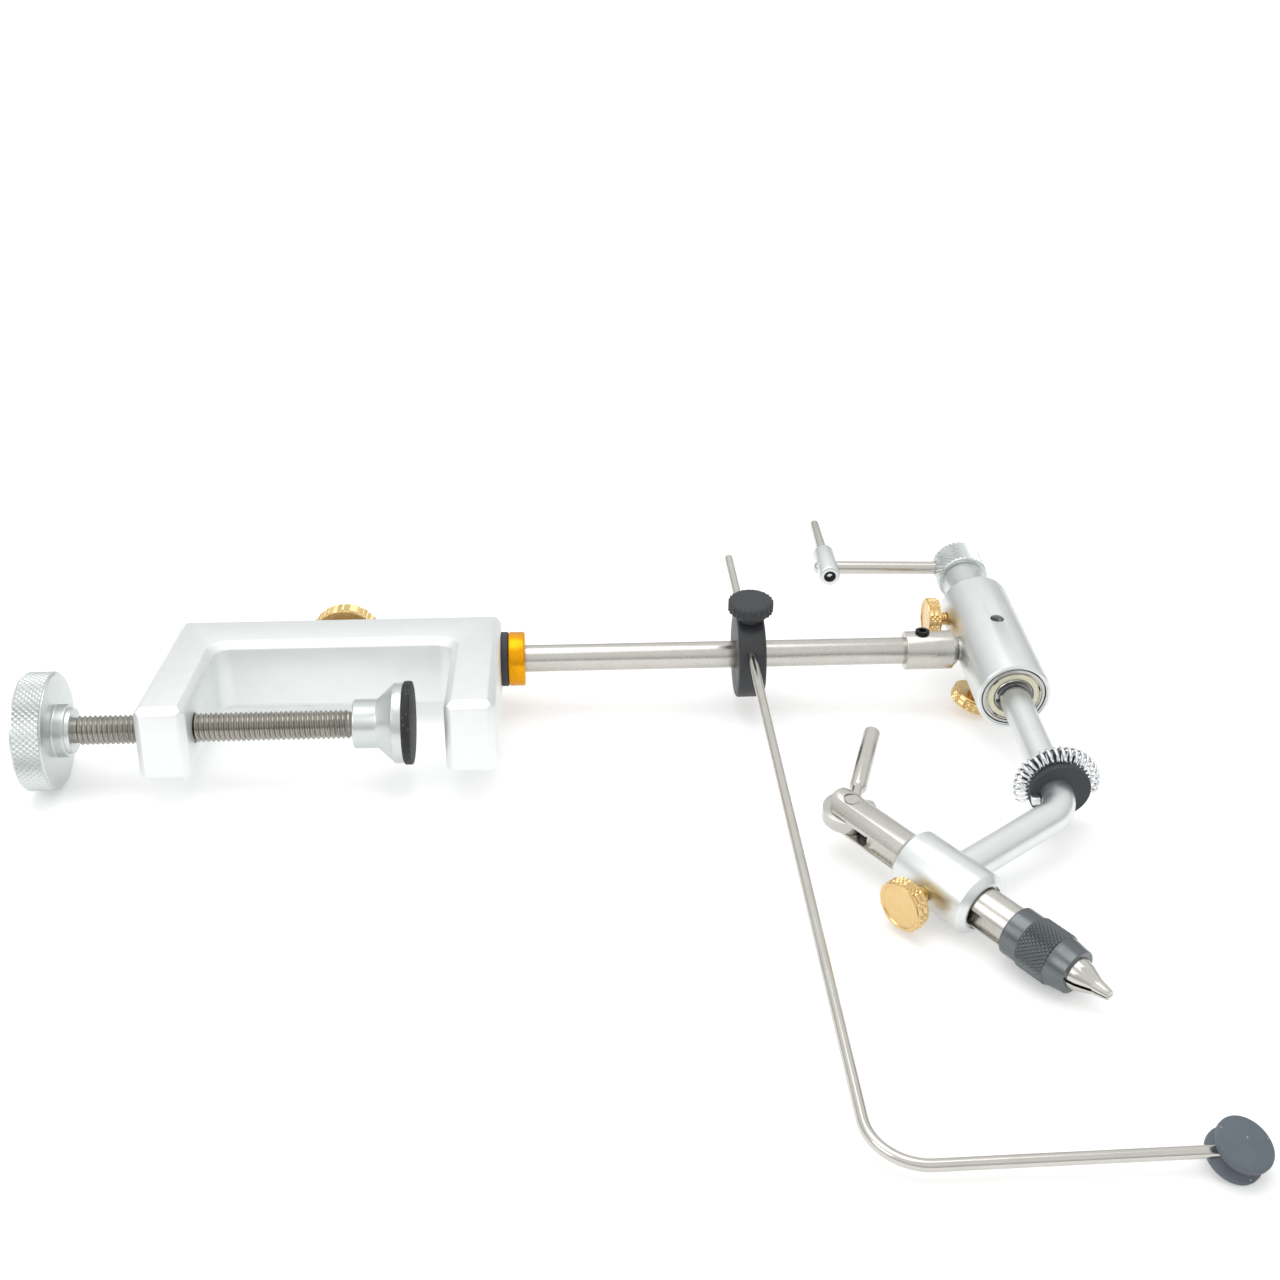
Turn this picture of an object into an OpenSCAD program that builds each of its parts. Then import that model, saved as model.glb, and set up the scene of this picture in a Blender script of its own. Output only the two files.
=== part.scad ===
// Fly tying vise lying on its side: table clamp, post, thread cradle and rotary head.
// X runs along the post, towards the head; -Y is the side of the clamp screw; +Z is up.
// The origin lies on the post axis, half way along the free post.

/* [Post] */
// Diameter of the post
post_d = 9.525; // [9:0.025:10]
// Distance from the origin to the face of the clamp that the post leaves
clamp_offset = 48.7; // [46:0.1:70]
// Distance from the origin to the coupling on the head
coupling_offset = 94.1; // [80:0.1:120]
// Length of post inside the clamp
post_in_clamp = 96.3; // [70:0.1:100]
// Running clearance round every turning or sliding pin
running_fit = 0.05; // [0.02:0.01:0.09]

/* [Clamp] */
// Length of the clamp frame along the post
clamp_length = 112.4; // [105:0.1:125]
// Width of the clamp frame from its back to the tips of its arms
clamp_depth = 75.6; // [72:0.1:85]
// Thickness of the clamp frame
clamp_thick = 25.4; // [22:0.1:30]
// Width of the spine that holds the post
spine_w = 22.2; // [20:0.1:25]
// Width of each arm
arm_w = 16.1; // [14:0.1:18]
// Radius in the two inner corners of the throat
throat_r = 5.5; // [3:0.1:8]
// Width of the cut on the edges of the frame
frame_edge = 2.4; // [1:0.1:3]
// Distance between the post and the clamp screw
screw_drop = 50.8; // [49:0.1:54]
// Roll of the clamp about the post, arms up
clamp_tilt = 4.57; // [0:0.01:8]

/* [Clamp screw] */
// Diameter over the thread of the clamp screw
screw_d = 9.525; // [8:0.025:11]
// Pitch of the clamp screw
screw_pitch = 1.5875; // [1.25:0.0125:2]
// Length of thread between the knob and the foot
screw_length = 88.4; // [80:0.1:95]
// Gap between the pad and the fixed jaw
jaw_gap = 11; // [5:0.1:14]
// Diameter of the clamp knob
knob_d = 38.1; // [30:0.1:45]
// Thickness of the clamp knob
knob_t = 9.5; // [7:0.1:12]
// Diameter of the hub on the clamp knob
knob_hub_d = 17; // [14:0.1:22]
// Length of the hub on the clamp knob
knob_hub_l = 5.1; // [4:0.1:8]
// Diameter of the boss on the foot
foot_boss_d = 15.9; // [14:0.1:18]
// Diameter of the rim of the foot
foot_rim_d = 25.9; // [22:0.1:30]
// Length of the foot along the screw
foot_length = 16.1; // [14.5:0.1:18]
// Diameter of the pad
pad_d = 27; // [24:0.1:32]
// Thickness of the pad
pad_t = 2.6; // [2:0.1:4]

/* [Collar and stem lock] */
// Outer diameter of the stop collar
collar_d = 19.05; // [17:0.05:22]
// Width of the stop collar
collar_w = 5.9; // [5:0.1:8]
// Thickness of the rubber washer
washer_t = 2.4; // [1.5:0.1:4]
// Diameter of the head of the stem lock screw
stem_head_d = 25.4; // [20:0.1:28]
// Thickness of the head of the stem lock screw
stem_head_t = 7.5; // [5:0.1:9]

/* [Cradle] */
// Distance from the origin to the middle of the cradle block
cradle_offset = 38.4; // [0:0.1:60]
// Width of the cradle block along the post
cradle_w = 9.5; // [8:0.1:12]
// Diameter of the cradle block
cradle_d = 30.4; // [28.5:0.1:36]
// Roll of the cradle about the post, front down
cradle_tilt = 6.1; // [0:0.1:8]
// Diameter of the cradle rod
rod_d = 3.175; // [2.5:0.025:3.5]
// Height of the rod above the post axis
rod_height = 7.16; // [7:0.01:8.5]
// Length of rod in front of the post, to its corner
rod_reach = 228.6; // [150:0.1:260]
// Length of rod behind the post
rod_back = 55; // [48:0.1:80]
// Length of the short leg of the rod, to the middle of the pulley
rod_leg = 87.9; // [60:0.1:110]
// Radius of the bend in the rod
rod_bend = 14.4; // [8:0.1:25]
// Angle of the rod hole, towards the head
rod_yaw = 1.37; // [0:0.01:2]
// Diameter of the pulley
pulley_d = 14.6; // [12:0.1:20]
// Thickness of the pulley
pulley_t = 7.2; // [6.5:0.1:10]
// Diameter of the cradle knob
cradle_knob_d = 15.7; // [12:0.1:20]
// Thickness of the cradle knob
cradle_knob_t = 4.4; // [3:0.1:7]

/* [Head] */
// Outer diameter of the coupling
coupling_d = 13.7; // [13:0.1:16]
// Length of the coupling
coupling_l = 19; // [16:0.1:22]
// Gap between the coupling and the housing
coupling_gap = 0.3; // [0.2:0.1:2]
// Downward tilt of the rotary axis towards the jaws
rotary_tilt = 5.28; // [0:0.01:8]
// Diameter of the housing
housing_d = 25.4; // [25:0.1:30]
// Length of the housing in front of the post
housing_front = 31; // [30:0.1:36]
// Length of the wide part of the housing behind the post
housing_rear = 31.5; // [29:0.1:36]
// Diameter of the neck of the housing
neck_d = 15.9; // [15:0.1:18]
// Length of the neck of the housing
neck_l = 17; // [15:0.1:22]
// Outer diameter of the front bearing
bearing_d = 22.225; // [21.5:0.025:22.5]
// Width of the front bearing
bearing_w = 7.14; // [6.5:0.01:7.5]
// Diameter of the spindle in its bearings
spindle_d = 9.525; // [9:0.025:9.6]
// Diameter of the arm in front of the bearing
arm_d = 10.2; // [9.9:0.1:11]
// Distance from the post axis to the corner of the arm
arm_reach = 92.7; // [88:0.1:100]
// Angle of the bend in the arm
arm_bend = 54.5; // [50:0.5:60]
// Radius of the bend in the arm
arm_bend_r = 14; // [11:0.1:15]
// Length of arm from its corner to the middle of the barrel
arm_leg = 53.5; // [45:0.1:60]
// Diameter of the small brass screw heads
thumb_d = 15.9; // [13:0.1:16]
// Thickness of the small brass screw heads
thumb_t = 4.6; // [4:0.1:5]
// Diameter of the brass screw shanks
thumb_shank_d = 5; // [4.5:0.1:6]

/* [Crank] */
// Diameter of the rear hub
hub_d = 19.05; // [18:0.05:22]
// Length of the rear hub
hub_l = 13.2; // [12:0.1:16]
// Diameter of the crank arm
crank_d = 5; // [4:0.1:6]
// Distance from the rotary axis to the crank handle
crank_r = 51; // [40:0.1:60]
// Angle of the crank arm above the post
crank_angle = 1.5; // [0:0.1:10]
// Diameter of the block at the end of the crank arm
block_d = 8.2; // [7.5:0.1:10]
// Length of the block at the end of the crank arm
block_l = 18.2; // [16:0.1:22]
// Length of the crank handle behind its block
handle_l = 24.5; // [18:0.1:35]

/* [Spring wheel] */
// Diameter of the spring wheel
wheel_d = 19.6; // [18:0.1:22]
// Thickness of the spring wheel
wheel_t = 9.6; // [8.6:0.1:11]
// Distance from the corner of the arm back to the middle of the wheel
wheel_back = 13.5; // [12.6:0.1:18]
// Number of curls in the spring
spring_curls = 23; // [18:1:26]
// Diameter of the spring's curls, to the middle of the wire
curl_d = 5; // [4.6:0.1:5.2]
// Diameter of the spring wire
wire_d = 0.66; // [0.5:0.02:0.7]

/* [Jaws] */
// Diameter of the barrel
barrel_d = 19.4; // [19:0.1:22]
// Length of the barrel in front of the arm
barrel_front = 14.9; // [13:0.1:16]
// Length of the barrel behind the arm
barrel_rear = 13.6; // [12:0.1:16]
// Diameter of the jaw tube
tube_d = 12.7; // [12.5:0.1:13]
// Length of the jaw tube in front of the arm
tube_front = 36; // [35.5:0.1:38]
// Distance from the arm to the cam pin
pin_reach = 38.6; // [38:0.1:45]
// Diameter of the bore through the jaw tube
tube_bore_d = 7; // [6.5:0.1:7.2]
// Height of the slot in the rear of the jaw tube
fork_slot = 4.2; // [3.8:0.1:5]
// Diameter of the cam pin
pin_d = 4.2; // [3.5:0.1:4.5]
// Diameter of the cam disc
cam_d = 16.5; // [15.5:0.1:16.6]
// Throw of the cam
cam_throw = 1.2; // [0.5:0.05:1.2]
// Diameter of the lever rod
lever_d = 5.5; // [5:0.1:6]
// Length of the lever from the cam pin
lever_l = 45.8; // [30:0.1:60]
// Angle between the lever and the front of the jaws
lever_angle = 126.5; // [115:0.5:135]
// Length of the jaw collar
jaw_collar_l = 21.5; // [20:0.1:23]
// Diameter of the knurled band on the jaw collar
knurl_d = 16; // [15.5:0.1:18]
// Diameter of the mouth of the jaw collar
mouth_d = 9.8; // [9.4:0.1:10.4]
// Length of the jaws in front of the collar
jaw_out = 11; // [9:0.1:14]
// Gap between the jaws
jaw_slit = 0.4; // [0.3:0.05:0.6]

/* [Hidden] */
$fn = 64;

// Overrun of every cut past the face that it breaks
cut = 1;
// Play between two parts that lie close without touching
play = 0.1;
// Width of the cut on small turned edges
small_edge = 0.6;
// Step where a straight leg takes over from a bend
bend_step = 0.02;

// Clamp
clamp_left = clamp_offset + clamp_length;
arms_y = clamp_depth - spine_w / 2;
throat_from = clamp_left - arm_w;
throat_to = clamp_offset + arm_w;
post_bore_d = post_d + 2 * running_fit;
post_bore_spare = 5;
stem_x = 105.5;
stem_shank_d = 6.35;
stem_gap = 6.4;

// Clamp screw, measured along X from its own parts
pad_face = throat_to + jaw_gap;
foot_face = pad_face + pad_t;
foot_back = foot_face + foot_length;
screw_front = foot_back + play;
screw_back = screw_front + screw_length;
screw_thread_depth = 0.55;
knob_neck_l = 1.4;
knob_neck_d = 14.6;
pivot_d = 7;
pivot_l = 11.3;
pivot_groove = 4.2;
ring_d = 8.8;
ring_inner_d = 5.6;
ring_t = 1;
ring_play = 0.15;
foot_boss_l = 7.7;
foot_rim_l = 3.5;
foot_cone_drop = 0.7;

// Cradle
flat_below = 14.6;
flat_above = 14.9;
rod_side = 0.62;
rod_hole_d = rod_d + 2 * running_fit;
plug_d = 3.6;
plug_recess = 1;
notch_w = 4.4;
notch_h = 0.7;
cradle_shank_d = 4.8;
cradle_neck_l = 3;
cradle_neck_d = 9;
leg_fall = 0.6;
pulley_lean_side = 13;
pulley_lean_front = 13;
pulley_core_d = 9;
pulley_lip = 1.6;
pulley_step = 0.7;
pulley_step_t = 1.2;

// Head
housing_x = coupling_offset + coupling_l + coupling_gap + housing_d / 2;
coupling_bore_l = 12;
coupling_edge = 2.4;
spigot_d = 8;
socket_screw_d = 5;
socket_af = 2.5;
socket_depth = 2.2;
socket_proud = 1;
shoulder_r = 2.6;
housing_bore_d = 15;
rear_wall = 1.5;
seat_spare = 0.4;
lip_w = 0.45;
lip_l = 0.5;
bush_d = 12.7;
ball_n = 8;
ball_share = 0.625;
race_share = 0.36;
head_rim_share = 0.08;
head_dish_share = 0.08;
pivot_ring_share = 0.36;
knob_core_step = 1;
shield_t = 0.4;
shield_slot_n = 6;
side_screw_s = 20.8;
side_gap = 3;
bottom_screw_s = 5;
bottom_screw_angle = 70;
bottom_gap = 3.6;
accessory_hole_d = 4.8;
clip_d = 12.4;
clip_t = 1;
clip_groove = 0.4;
clip_open = 30;
arm_start = 0.5;

// Hub and crank
hub_gap = 0.3;
spindle_end = 1;
hub_screw_d = 4;
hub_screw_s = 2.4;
hub_screw_angle = -27;
crank_s = 58;
block_front = 7.1;
crank_tip = 1.2;
handle_root_d = 4.2;
handle_tip_d = 3.6;
crank_screw_d = 4.6;
crank_screw_l = 4;
crank_screw_sunk = 0.4;
crank_socket_af = 2;

// Spring wheel
wheel_x = 1.4;
spring_ring_r = 10.9;
groove_r = curl_d / 2 + wire_d / 2 + play;
spring_from = 206;
spring_sweep = -222;
clip_l = 2.6;
clip_w = 2.6;
clip_reach = 8.1;
clip_angle = 190;

wheel_reach = arm_reach - wheel_back;

// Jaws
barrel_edge = 2;
barrel_mouth_d = 14;
barrel_mouth_l = 1.2;
arm_spigot_d = 6;
arm_spigot_l = 2.6;
barrel_gap = 4.8;
key_w = 5.2;
key_depth = 1.6;
key_rear = 25.2;
key_front = 24.8;
bore_rear = 33;
bore_step_from = 29;
bore_step_to = 32.4;
neck_bore_d = 4.4;
fork_root = 27;
pin_ring_d = 5.4;
pin_ring_l = 0.6;
pin_inset = 0.3;
cam_play = 0.1;
cam_side_angle = 160;
cam_rest_gap = 0.2;
lever_flat_to = 14;
plunger_to = 8;
bar_neck_d = 4;
bar_front = 32.3;
spring_front = 28.2;
spring_outer_d = 6.4;
jaw_root = 32.6;
jaw_root_d = 6.6;
jaw_root_to = 38;
jaw_cone_from = 41;
jaw_cone_d = 11;
collar_start = 26.7;
collar_flange_d = 14.9;
collar_flange_l = 5.8;
band_l = 9.8;
nose_d = 13.4;
collar_step = 0.3;
seat_d = 12.4;
jaw_shoulder_share = 0.22;
jaw_waist_share = 0.6;
jaw_shoulder_d = 8.6;
jaw_waist_d = 4.9;
jaw_tip_d = 2.9;
jaw_relief = 0.5;

collar_end = collar_start + jaw_collar_l;
jaw_tip = collar_end + jaw_out;

// Unit vector along v
function unit(v) = v / norm(v);

// Frame of the clamp, rolled about the post
module clamp_place() { rotate([-clamp_tilt, 0, 0]) children(); }

// Frame of the cradle block, rolled about the post
module cradle_place() { translate([cradle_offset, 0, 0]) rotate([cradle_tilt, 0, 0]) children(); }

// Frame of the cradle rod, with the rod along Y
module rod_place() {
    cradle_place() translate([-rod_side, 0, rod_height]) rotate([0, 0, rod_yaw]) children();
}

// Frame of the rotary axis: Z towards the jaws, Y up, origin above the post axis
module rotary_place() { translate([housing_x, 0, 0]) rotate([90 + rotary_tilt, 0, 0]) children(); }

// Frame of the jaw axis: X towards the tip, Z up, origin where the arm meets the barrel
module jaw_place() {
    rotary_place()
        translate([-arm_leg * sin(arm_bend), 0, arm_reach + arm_leg * cos(arm_bend)])
            rotate([-90, -arm_bend, 0]) children();
}

// Turns Z onto X
module along_x() { rotate([0, 90, 0]) children(); }

// Turns Z onto the direction v
module aim(v) { rotate([0, acos(v.z / norm(v)), atan2(v.y, v.x)]) children(); }

// Turns Z outward from the rotary axis, at an angle above the post's side of the housing
module radial(angle) { rotate([0, 0, 180 - angle]) rotate([0, 90, 0]) children(); }

// Solid of revolution about Z from a list of [radius, height] points
module turned(points) { rotate_extrude() polygon(points); }

// Disc or short bar with both edges cut
module edged_bar(d, l, edge) {
    turned([[0, 0], [d / 2 - edge, 0], [d / 2, edge], [d / 2, l - edge], [d / 2 - edge, l], [0, l]]);
}

// Ring with cut outer edges
module edged_ring(d, bore, l, edge) {
    turned([
        [bore / 2, 0], [d / 2 - edge, 0], [d / 2, edge],
        [d / 2, l - edge], [d / 2 - edge, l], [bore / 2, l]
    ]);
}

// Round bar from one point to another
module bar(from, to, r) { translate(from) aim(to - from) cylinder(h = norm(to - from), r = r); }

// Round bar with one bend at its corner
module bent_bar(from, corner, to, r, bend_r) {
    u = unit(corner - from);
    v = unit(to - corner);
    turn = acos(u * v);
    reach = bend_r * tan(turn / 2);
    w = unit(v - u * (u * v));
    n = cross(u, w);
    c = corner - u * reach + w * bend_r;
    multmatrix([
        [-w.x, u.x, n.x, c.x],
        [-w.y, u.y, n.y, c.y],
        [-w.z, u.z, n.z, c.z],
        [0, 0, 0, 1]
    ]) {
        rotate_extrude(angle = turn) translate([bend_r, 0]) circle(r = r);
        translate([bend_r, 0, 0]) rotate([90, 0, 0]) cylinder(h = norm(corner - from) - reach, r = r);
        rotate([0, 0, turn]) translate([bend_r, -play, 0])
            rotate([-90, 0, 0]) cylinder(h = norm(to - corner) - reach + play, r = r + bend_step);
    }
}

// Brass screw: shank from z = 0, then a dished head
module thumb_screw(shank_d, shank_l, head_d, head_t) {
    rim = head_d * head_rim_share;
    dish = head_t * head_dish_share;
    turned([
        [0, 0], [shank_d / 2 - small_edge, 0], [shank_d / 2, small_edge], [shank_d / 2, shank_l],
        [head_d / 2 - small_edge, shank_l], [head_d / 2, shank_l + small_edge],
        [head_d / 2, shank_l + head_t - small_edge], [head_d / 2 - small_edge, shank_l + head_t],
        [head_d / 2 - rim, shank_l + head_t], [head_d / 2 - rim - dish, shank_l + head_t - dish],
        [0, shank_l + head_t - dish]
    ]);
}

// Headless screw with a hexagon socket at its top
module socket_screw(d, l, af, depth) {
    difference() {
        cylinder(h = l, d = d);
        translate([0, 0, l - depth]) cylinder(h = depth + cut, d = af / cos(30), $fn = 6);
    }
}

// Rectangle from the origin with its corners cut
module cut_rect(w, h, edge) {
    polygon([
        [edge, 0], [w - edge, 0], [w, edge], [w, h - edge],
        [w - edge, h], [edge, h], [0, h - edge], [0, edge]
    ]);
}

// Block from the origin with every edge cut
module cut_block(w, d, h, edge) {
    intersection() {
        linear_extrude(h) cut_rect(w, d, edge);
        translate([0, d, 0]) rotate([90, 0, 0]) linear_extrude(d) cut_rect(w, h, edge);
        rotate([90, 0, 90]) linear_extrude(w) cut_rect(d, h, edge);
    }
}

// Throat of the clamp, from the spine out past the arm tips
module throat() {
    throat_l = throat_from - throat_to;
    h = clamp_thick + 2 * cut;
    translate([-throat_from, -arms_y - cut, -h / 2])
        cube([throat_l, arms_y + cut - spine_w / 2 - throat_r, h]);
    translate([-throat_from + throat_r, -arms_y - cut, -h / 2])
        cube([throat_l - 2 * throat_r, arms_y + cut - spine_w / 2, h]);
    for (x = [-throat_from + throat_r, -throat_to - throat_r])
        translate([x, -spine_w / 2 - throat_r, -h / 2]) cylinder(h = h, r = throat_r);
}

// Cut edges of the throat on the upper face
module throat_edges() {
    top = clamp_thick / 2;
    wedge = [[0, -frame_edge], [frame_edge + cut, cut], [0, cut]];
    corner_y = -spine_w / 2 - throat_r;
    translate([-throat_from + throat_r, -spine_w / 2, top])
        rotate([90, 0, 90]) linear_extrude(throat_from - throat_to - 2 * throat_r) polygon(wedge);
    translate([-throat_to, corner_y, top])
        rotate([90, 0, 0]) linear_extrude(arms_y + corner_y + cut) polygon(wedge);
    mirror([1, 0, 0]) translate([throat_from, corner_y, top])
        rotate([90, 0, 0]) linear_extrude(arms_y + corner_y + cut) polygon(wedge);
    for (x = [-throat_from + throat_r, -throat_to - throat_r])
        translate([x, corner_y, top - frame_edge])
            cylinder(h = frame_edge + cut, r1 = throat_r, r2 = throat_r + frame_edge + cut);
}

module clamp_frame() {
    color("gainsboro") clamp_place() difference() {
        translate([-clamp_left, -arms_y, -clamp_thick / 2])
            cut_block(clamp_length, clamp_depth, clamp_thick, frame_edge);
        throat();
        throat_edges();
        mirror([0, 0, 1]) throat_edges();
        for (x = [-throat_from, -throat_to])
            translate([x, -arms_y, 0]) rotate([0, 0, 45])
                cube([frame_edge * sqrt(2), frame_edge * sqrt(2), clamp_thick + 2 * cut], center = true);
        translate([-clamp_offset - post_in_clamp - post_bore_spare, 0, 0])
            along_x() cylinder(h = post_in_clamp + post_bore_spare + cut, d = post_bore_d);
        translate([-clamp_left - cut, -screw_drop, 0])
            along_x() cylinder(h = arm_w + 2 * cut, d = screw_d + 2 * running_fit);
        translate([-stem_x, 0, 0])
            rotate([-90, 0, 0]) cylinder(h = spine_w / 2 + cut, d = stem_shank_d + 2 * running_fit);
    }
}

// Outline of the threaded bar: one crest for each turn
function thread_points(l, r) = [
    for (i = [0 : floor(l / screw_pitch) - 1])
        each [[r - screw_thread_depth, i * screw_pitch], [r, (i + 1 / 2) * screw_pitch]]
];

module clamp_screw() {
    l = floor(screw_length / screw_pitch) * screw_pitch;
    ring_at = screw_length + pivot_l * pivot_ring_share;
    color("dimgray") clamp_place() translate([-screw_back, -screw_drop, 0]) along_x() {
        turned(concat(
            [[0, 0]], thread_points(screw_length, screw_d / 2),
            [
                [screw_d / 2 - screw_thread_depth, l], [screw_d / 2 - screw_thread_depth, screw_length],
                [pivot_d / 2, screw_length], [pivot_d / 2, ring_at],
                [pivot_groove / 2 + ring_play, ring_at], [pivot_groove / 2 + ring_play, ring_at + ring_t],
                [pivot_d / 2, ring_at + ring_t], [pivot_d / 2, screw_length + pivot_l],
                [0, screw_length + pivot_l]
            ]
        ));
        translate([0, 0, -knob_hub_l - knob_t / 2]) cylinder(h = knob_hub_l + knob_t / 2, d = screw_d - 2 * knob_core_step);
    }
}

module clamp_knob() {
    color("whitesmoke") clamp_place() translate([-screw_back, -screw_drop, 0]) along_x() difference() {
        turned([
            [0, -knob_hub_l - knob_t], [knob_d / 2 - small_edge, -knob_hub_l - knob_t],
            [knob_d / 2, -knob_hub_l - knob_t + small_edge], [knob_d / 2, -knob_hub_l - small_edge],
            [knob_d / 2 - small_edge, -knob_hub_l], [knob_hub_d / 2, -knob_hub_l],
            [knob_hub_d / 2, -knob_neck_l], [knob_neck_d / 2, -knob_neck_l],
            [knob_neck_d / 2, 0], [0, 0]
        ]);
        translate([0, 0, -knob_hub_l - knob_t / 2]) cylinder(h = knob_hub_l + knob_t, d = screw_d - 2 * knob_core_step);
    }
}

module pivot_ring() {
    ring_at = screw_length + pivot_l * pivot_ring_share;
    color("silver") clamp_place() translate([-screw_back, -screw_drop, 0]) along_x()
        translate([0, 0, ring_at]) difference() {
            cylinder(h = ring_t, d = ring_d);
            translate([0, 0, -cut]) cylinder(h = ring_t + 2 * cut, d = pivot_groove + 2 * ring_play);
        }
}

module clamp_foot() {
    ring_at = pivot_l * pivot_ring_share;
    cone_l = foot_length - foot_boss_l - foot_rim_l;
    color("whitesmoke") clamp_place() translate([-foot_back, -screw_drop, 0]) along_x() difference() {
        turned([
            [0, 0], [foot_boss_d / 2 - small_edge, 0], [foot_boss_d / 2, small_edge],
            [foot_boss_d / 2, foot_boss_l], [foot_rim_d / 2 - foot_cone_drop, foot_boss_l + cone_l],
            [foot_rim_d / 2, foot_boss_l + cone_l], [foot_rim_d / 2, foot_length], [0, foot_length]
        ]);
        translate([0, 0, -cut])
            cylinder(h = pivot_l + cut + ring_play, d = pivot_d + 2 * running_fit);
        translate([0, 0, ring_at - ring_play - play])
            cylinder(h = ring_t + 2 * ring_play, d = ring_d + 2 * ring_play);
    }
}

module clamp_pad() {
    color([0.07, 0.07, 0.07]) clamp_place() translate([-foot_face, -screw_drop, 0])
        along_x() edged_bar(pad_d, pad_t, small_edge);
}

module stem_lock_screw() {
    color("goldenrod") clamp_place() translate([-stem_x, post_d / 2 + running_fit, 0]) rotate([-90, 0, 0])
        thumb_screw(stem_shank_d, spine_w / 2 - post_d / 2 + stem_gap, stem_head_d, stem_head_t);
}

module post() {
    color("silver") translate([-clamp_offset - post_in_clamp, 0, 0]) along_x()
        edged_bar(post_d, post_in_clamp + clamp_offset + coupling_offset + coupling_bore_l, small_edge);
}

module post_washer() {
    color([0.1, 0.1, 0.1]) translate([-clamp_offset, 0, 0]) along_x() difference() {
        cylinder(h = washer_t, d = collar_d + play);
        translate([0, 0, -cut]) cylinder(h = washer_t + 2 * cut, d = post_bore_d);
    }
}

module stop_collar() {
    color("orange") translate([-clamp_offset + washer_t, 0, 0]) difference() {
        along_x() edged_ring(collar_d, post_d, collar_w, small_edge);
        translate([collar_w / 2, 0, 0]) rotate([-90, 0, 0]) cylinder(h = collar_d, d = hub_screw_d);
    }
}

module collar_set_screw() {
    color([0.1, 0.1, 0.1]) translate([-clamp_offset + washer_t + collar_w / 2, post_d / 2, 0])
        rotate([-90, 0, 0])
            socket_screw(hub_screw_d, (collar_d - post_d) / 2 - small_edge, crank_socket_af, socket_depth);
}

module cradle_block() {
    color([0.12, 0.12, 0.12]) cradle_place() difference() {
        intersection() {
            translate([-cradle_w / 2, 0, 0]) along_x() edged_bar(cradle_d, cradle_w, small_edge);
            translate([-cradle_w, -cradle_d, -flat_below])
                cube([2 * cradle_w, 2 * cradle_d, flat_below + flat_above]);
        }
        translate([-cradle_w, 0, 0]) along_x() cylinder(h = 2 * cradle_w, d = post_bore_d);
        translate([-rod_side, 0, rod_height]) rotate([0, 0, rod_yaw]) rotate([90, 0, 0])
            translate([0, 0, -cradle_d]) cylinder(h = 2 * cradle_d, d = rod_hole_d);
        translate([0, 0, rod_height])
            cylinder(h = flat_above, d = cradle_shank_d + 2 * running_fit);
        translate([0, 0, -flat_below - cut]) cylinder(h = flat_below + cut, d = plug_d);
        translate([-notch_w / 2, -cradle_d, -flat_below - cut]) cube([notch_w, 2 * cradle_d, notch_h + cut]);
    }
}

module cradle_plug() {
    color("goldenrod") cradle_place() translate([0, 0, -flat_below + plug_recess])
        cylinder(h = flat_below - plug_recess - post_bore_d / 2 - play, d = plug_d);
}

module cradle_knob() {
    tip = rod_height + rod_d / 2 + running_fit;
    color([0.12, 0.12, 0.12]) cradle_place() {
        translate([0, 0, tip]) cylinder(h = flat_above + play - tip, d = cradle_shank_d);
        translate([0, 0, flat_above + play]) cylinder(h = cradle_neck_l, d = cradle_neck_d);
        translate([0, 0, flat_above + play + cradle_neck_l])
            edged_bar(cradle_knob_d, cradle_knob_t, small_edge);
    }
}

module cradle_rod() {
    leg = [cos(leg_fall), 0, -sin(leg_fall)];
    color("silver") rod_place() bent_bar(
        [0, rod_back, 0], [0, -rod_reach, 0],
        [0, -rod_reach, 0] + leg * (rod_leg - pulley_core_d / 4), rod_d / 2, rod_bend
    );
}

module thread_pulley() {
    leg = [cos(leg_fall), 0, -sin(leg_fall)];
    lip = pulley_d / 2;
    waist = (pulley_t - 2 * pulley_lip - pulley_step_t) / 2;
    color("darkslategray") rod_place() translate([0, -rod_reach, 0] + leg * rod_leg) difference() {
        rotate([pulley_lean_front, pulley_lean_side, 0]) translate([0, 0, -pulley_t / 2]) turned([
            [0, 0], [lip - small_edge, 0], [lip, small_edge], [lip, pulley_lip],
            [pulley_core_d / 2, pulley_lip + waist], [pulley_core_d / 2, pulley_lip + 3 / 2 * waist],
            [lip - pulley_step, pulley_lip + 2 * waist],
            [lip - pulley_step, pulley_lip + 2 * waist + pulley_step_t],
            [lip, pulley_lip + 2 * waist + pulley_step_t],
            [lip, pulley_t - small_edge], [lip - small_edge, pulley_t], [0, pulley_t]
        ]);
        bar(-leg * pulley_d, -leg * pulley_core_d / 4, rod_d / 2 + bend_step);
    }
}

module coupling() {
    r = coupling_d / 2;
    spigot_l = coupling_gap + (housing_d - housing_bore_d) / 2;
    color("silver") translate([coupling_offset, 0, 0]) difference() {
        along_x() turned([
            [0, 0], [r - small_edge, 0], [r, small_edge], [r, coupling_l - coupling_edge],
            [r - coupling_edge, coupling_l], [spigot_d / 2, coupling_l],
            [spigot_d / 2, coupling_l + spigot_l], [0, coupling_l + spigot_l]
        ]);
        translate([-cut, 0, 0]) along_x() cylinder(h = coupling_bore_l + cut, d = post_d);
        translate([coupling_bore_l / 2, 0, 0]) cylinder(h = coupling_d, d = socket_screw_d);
    }
}

module coupling_set_screw() {
    color([0.1, 0.1, 0.1]) translate([coupling_offset + coupling_bore_l / 2, 0, post_d / 2])
        socket_screw(socket_screw_d, (coupling_d - post_d) / 2 + socket_proud, socket_af, socket_depth);
}

// Rounded rear shoulder of the housing, as points of its outline
function shoulder_points() = [
    for (a = [-90 : 10 : 0])
        [housing_d / 2 - shoulder_r + shoulder_r * cos(a), -housing_rear + shoulder_r + shoulder_r * sin(a)]
];

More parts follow.
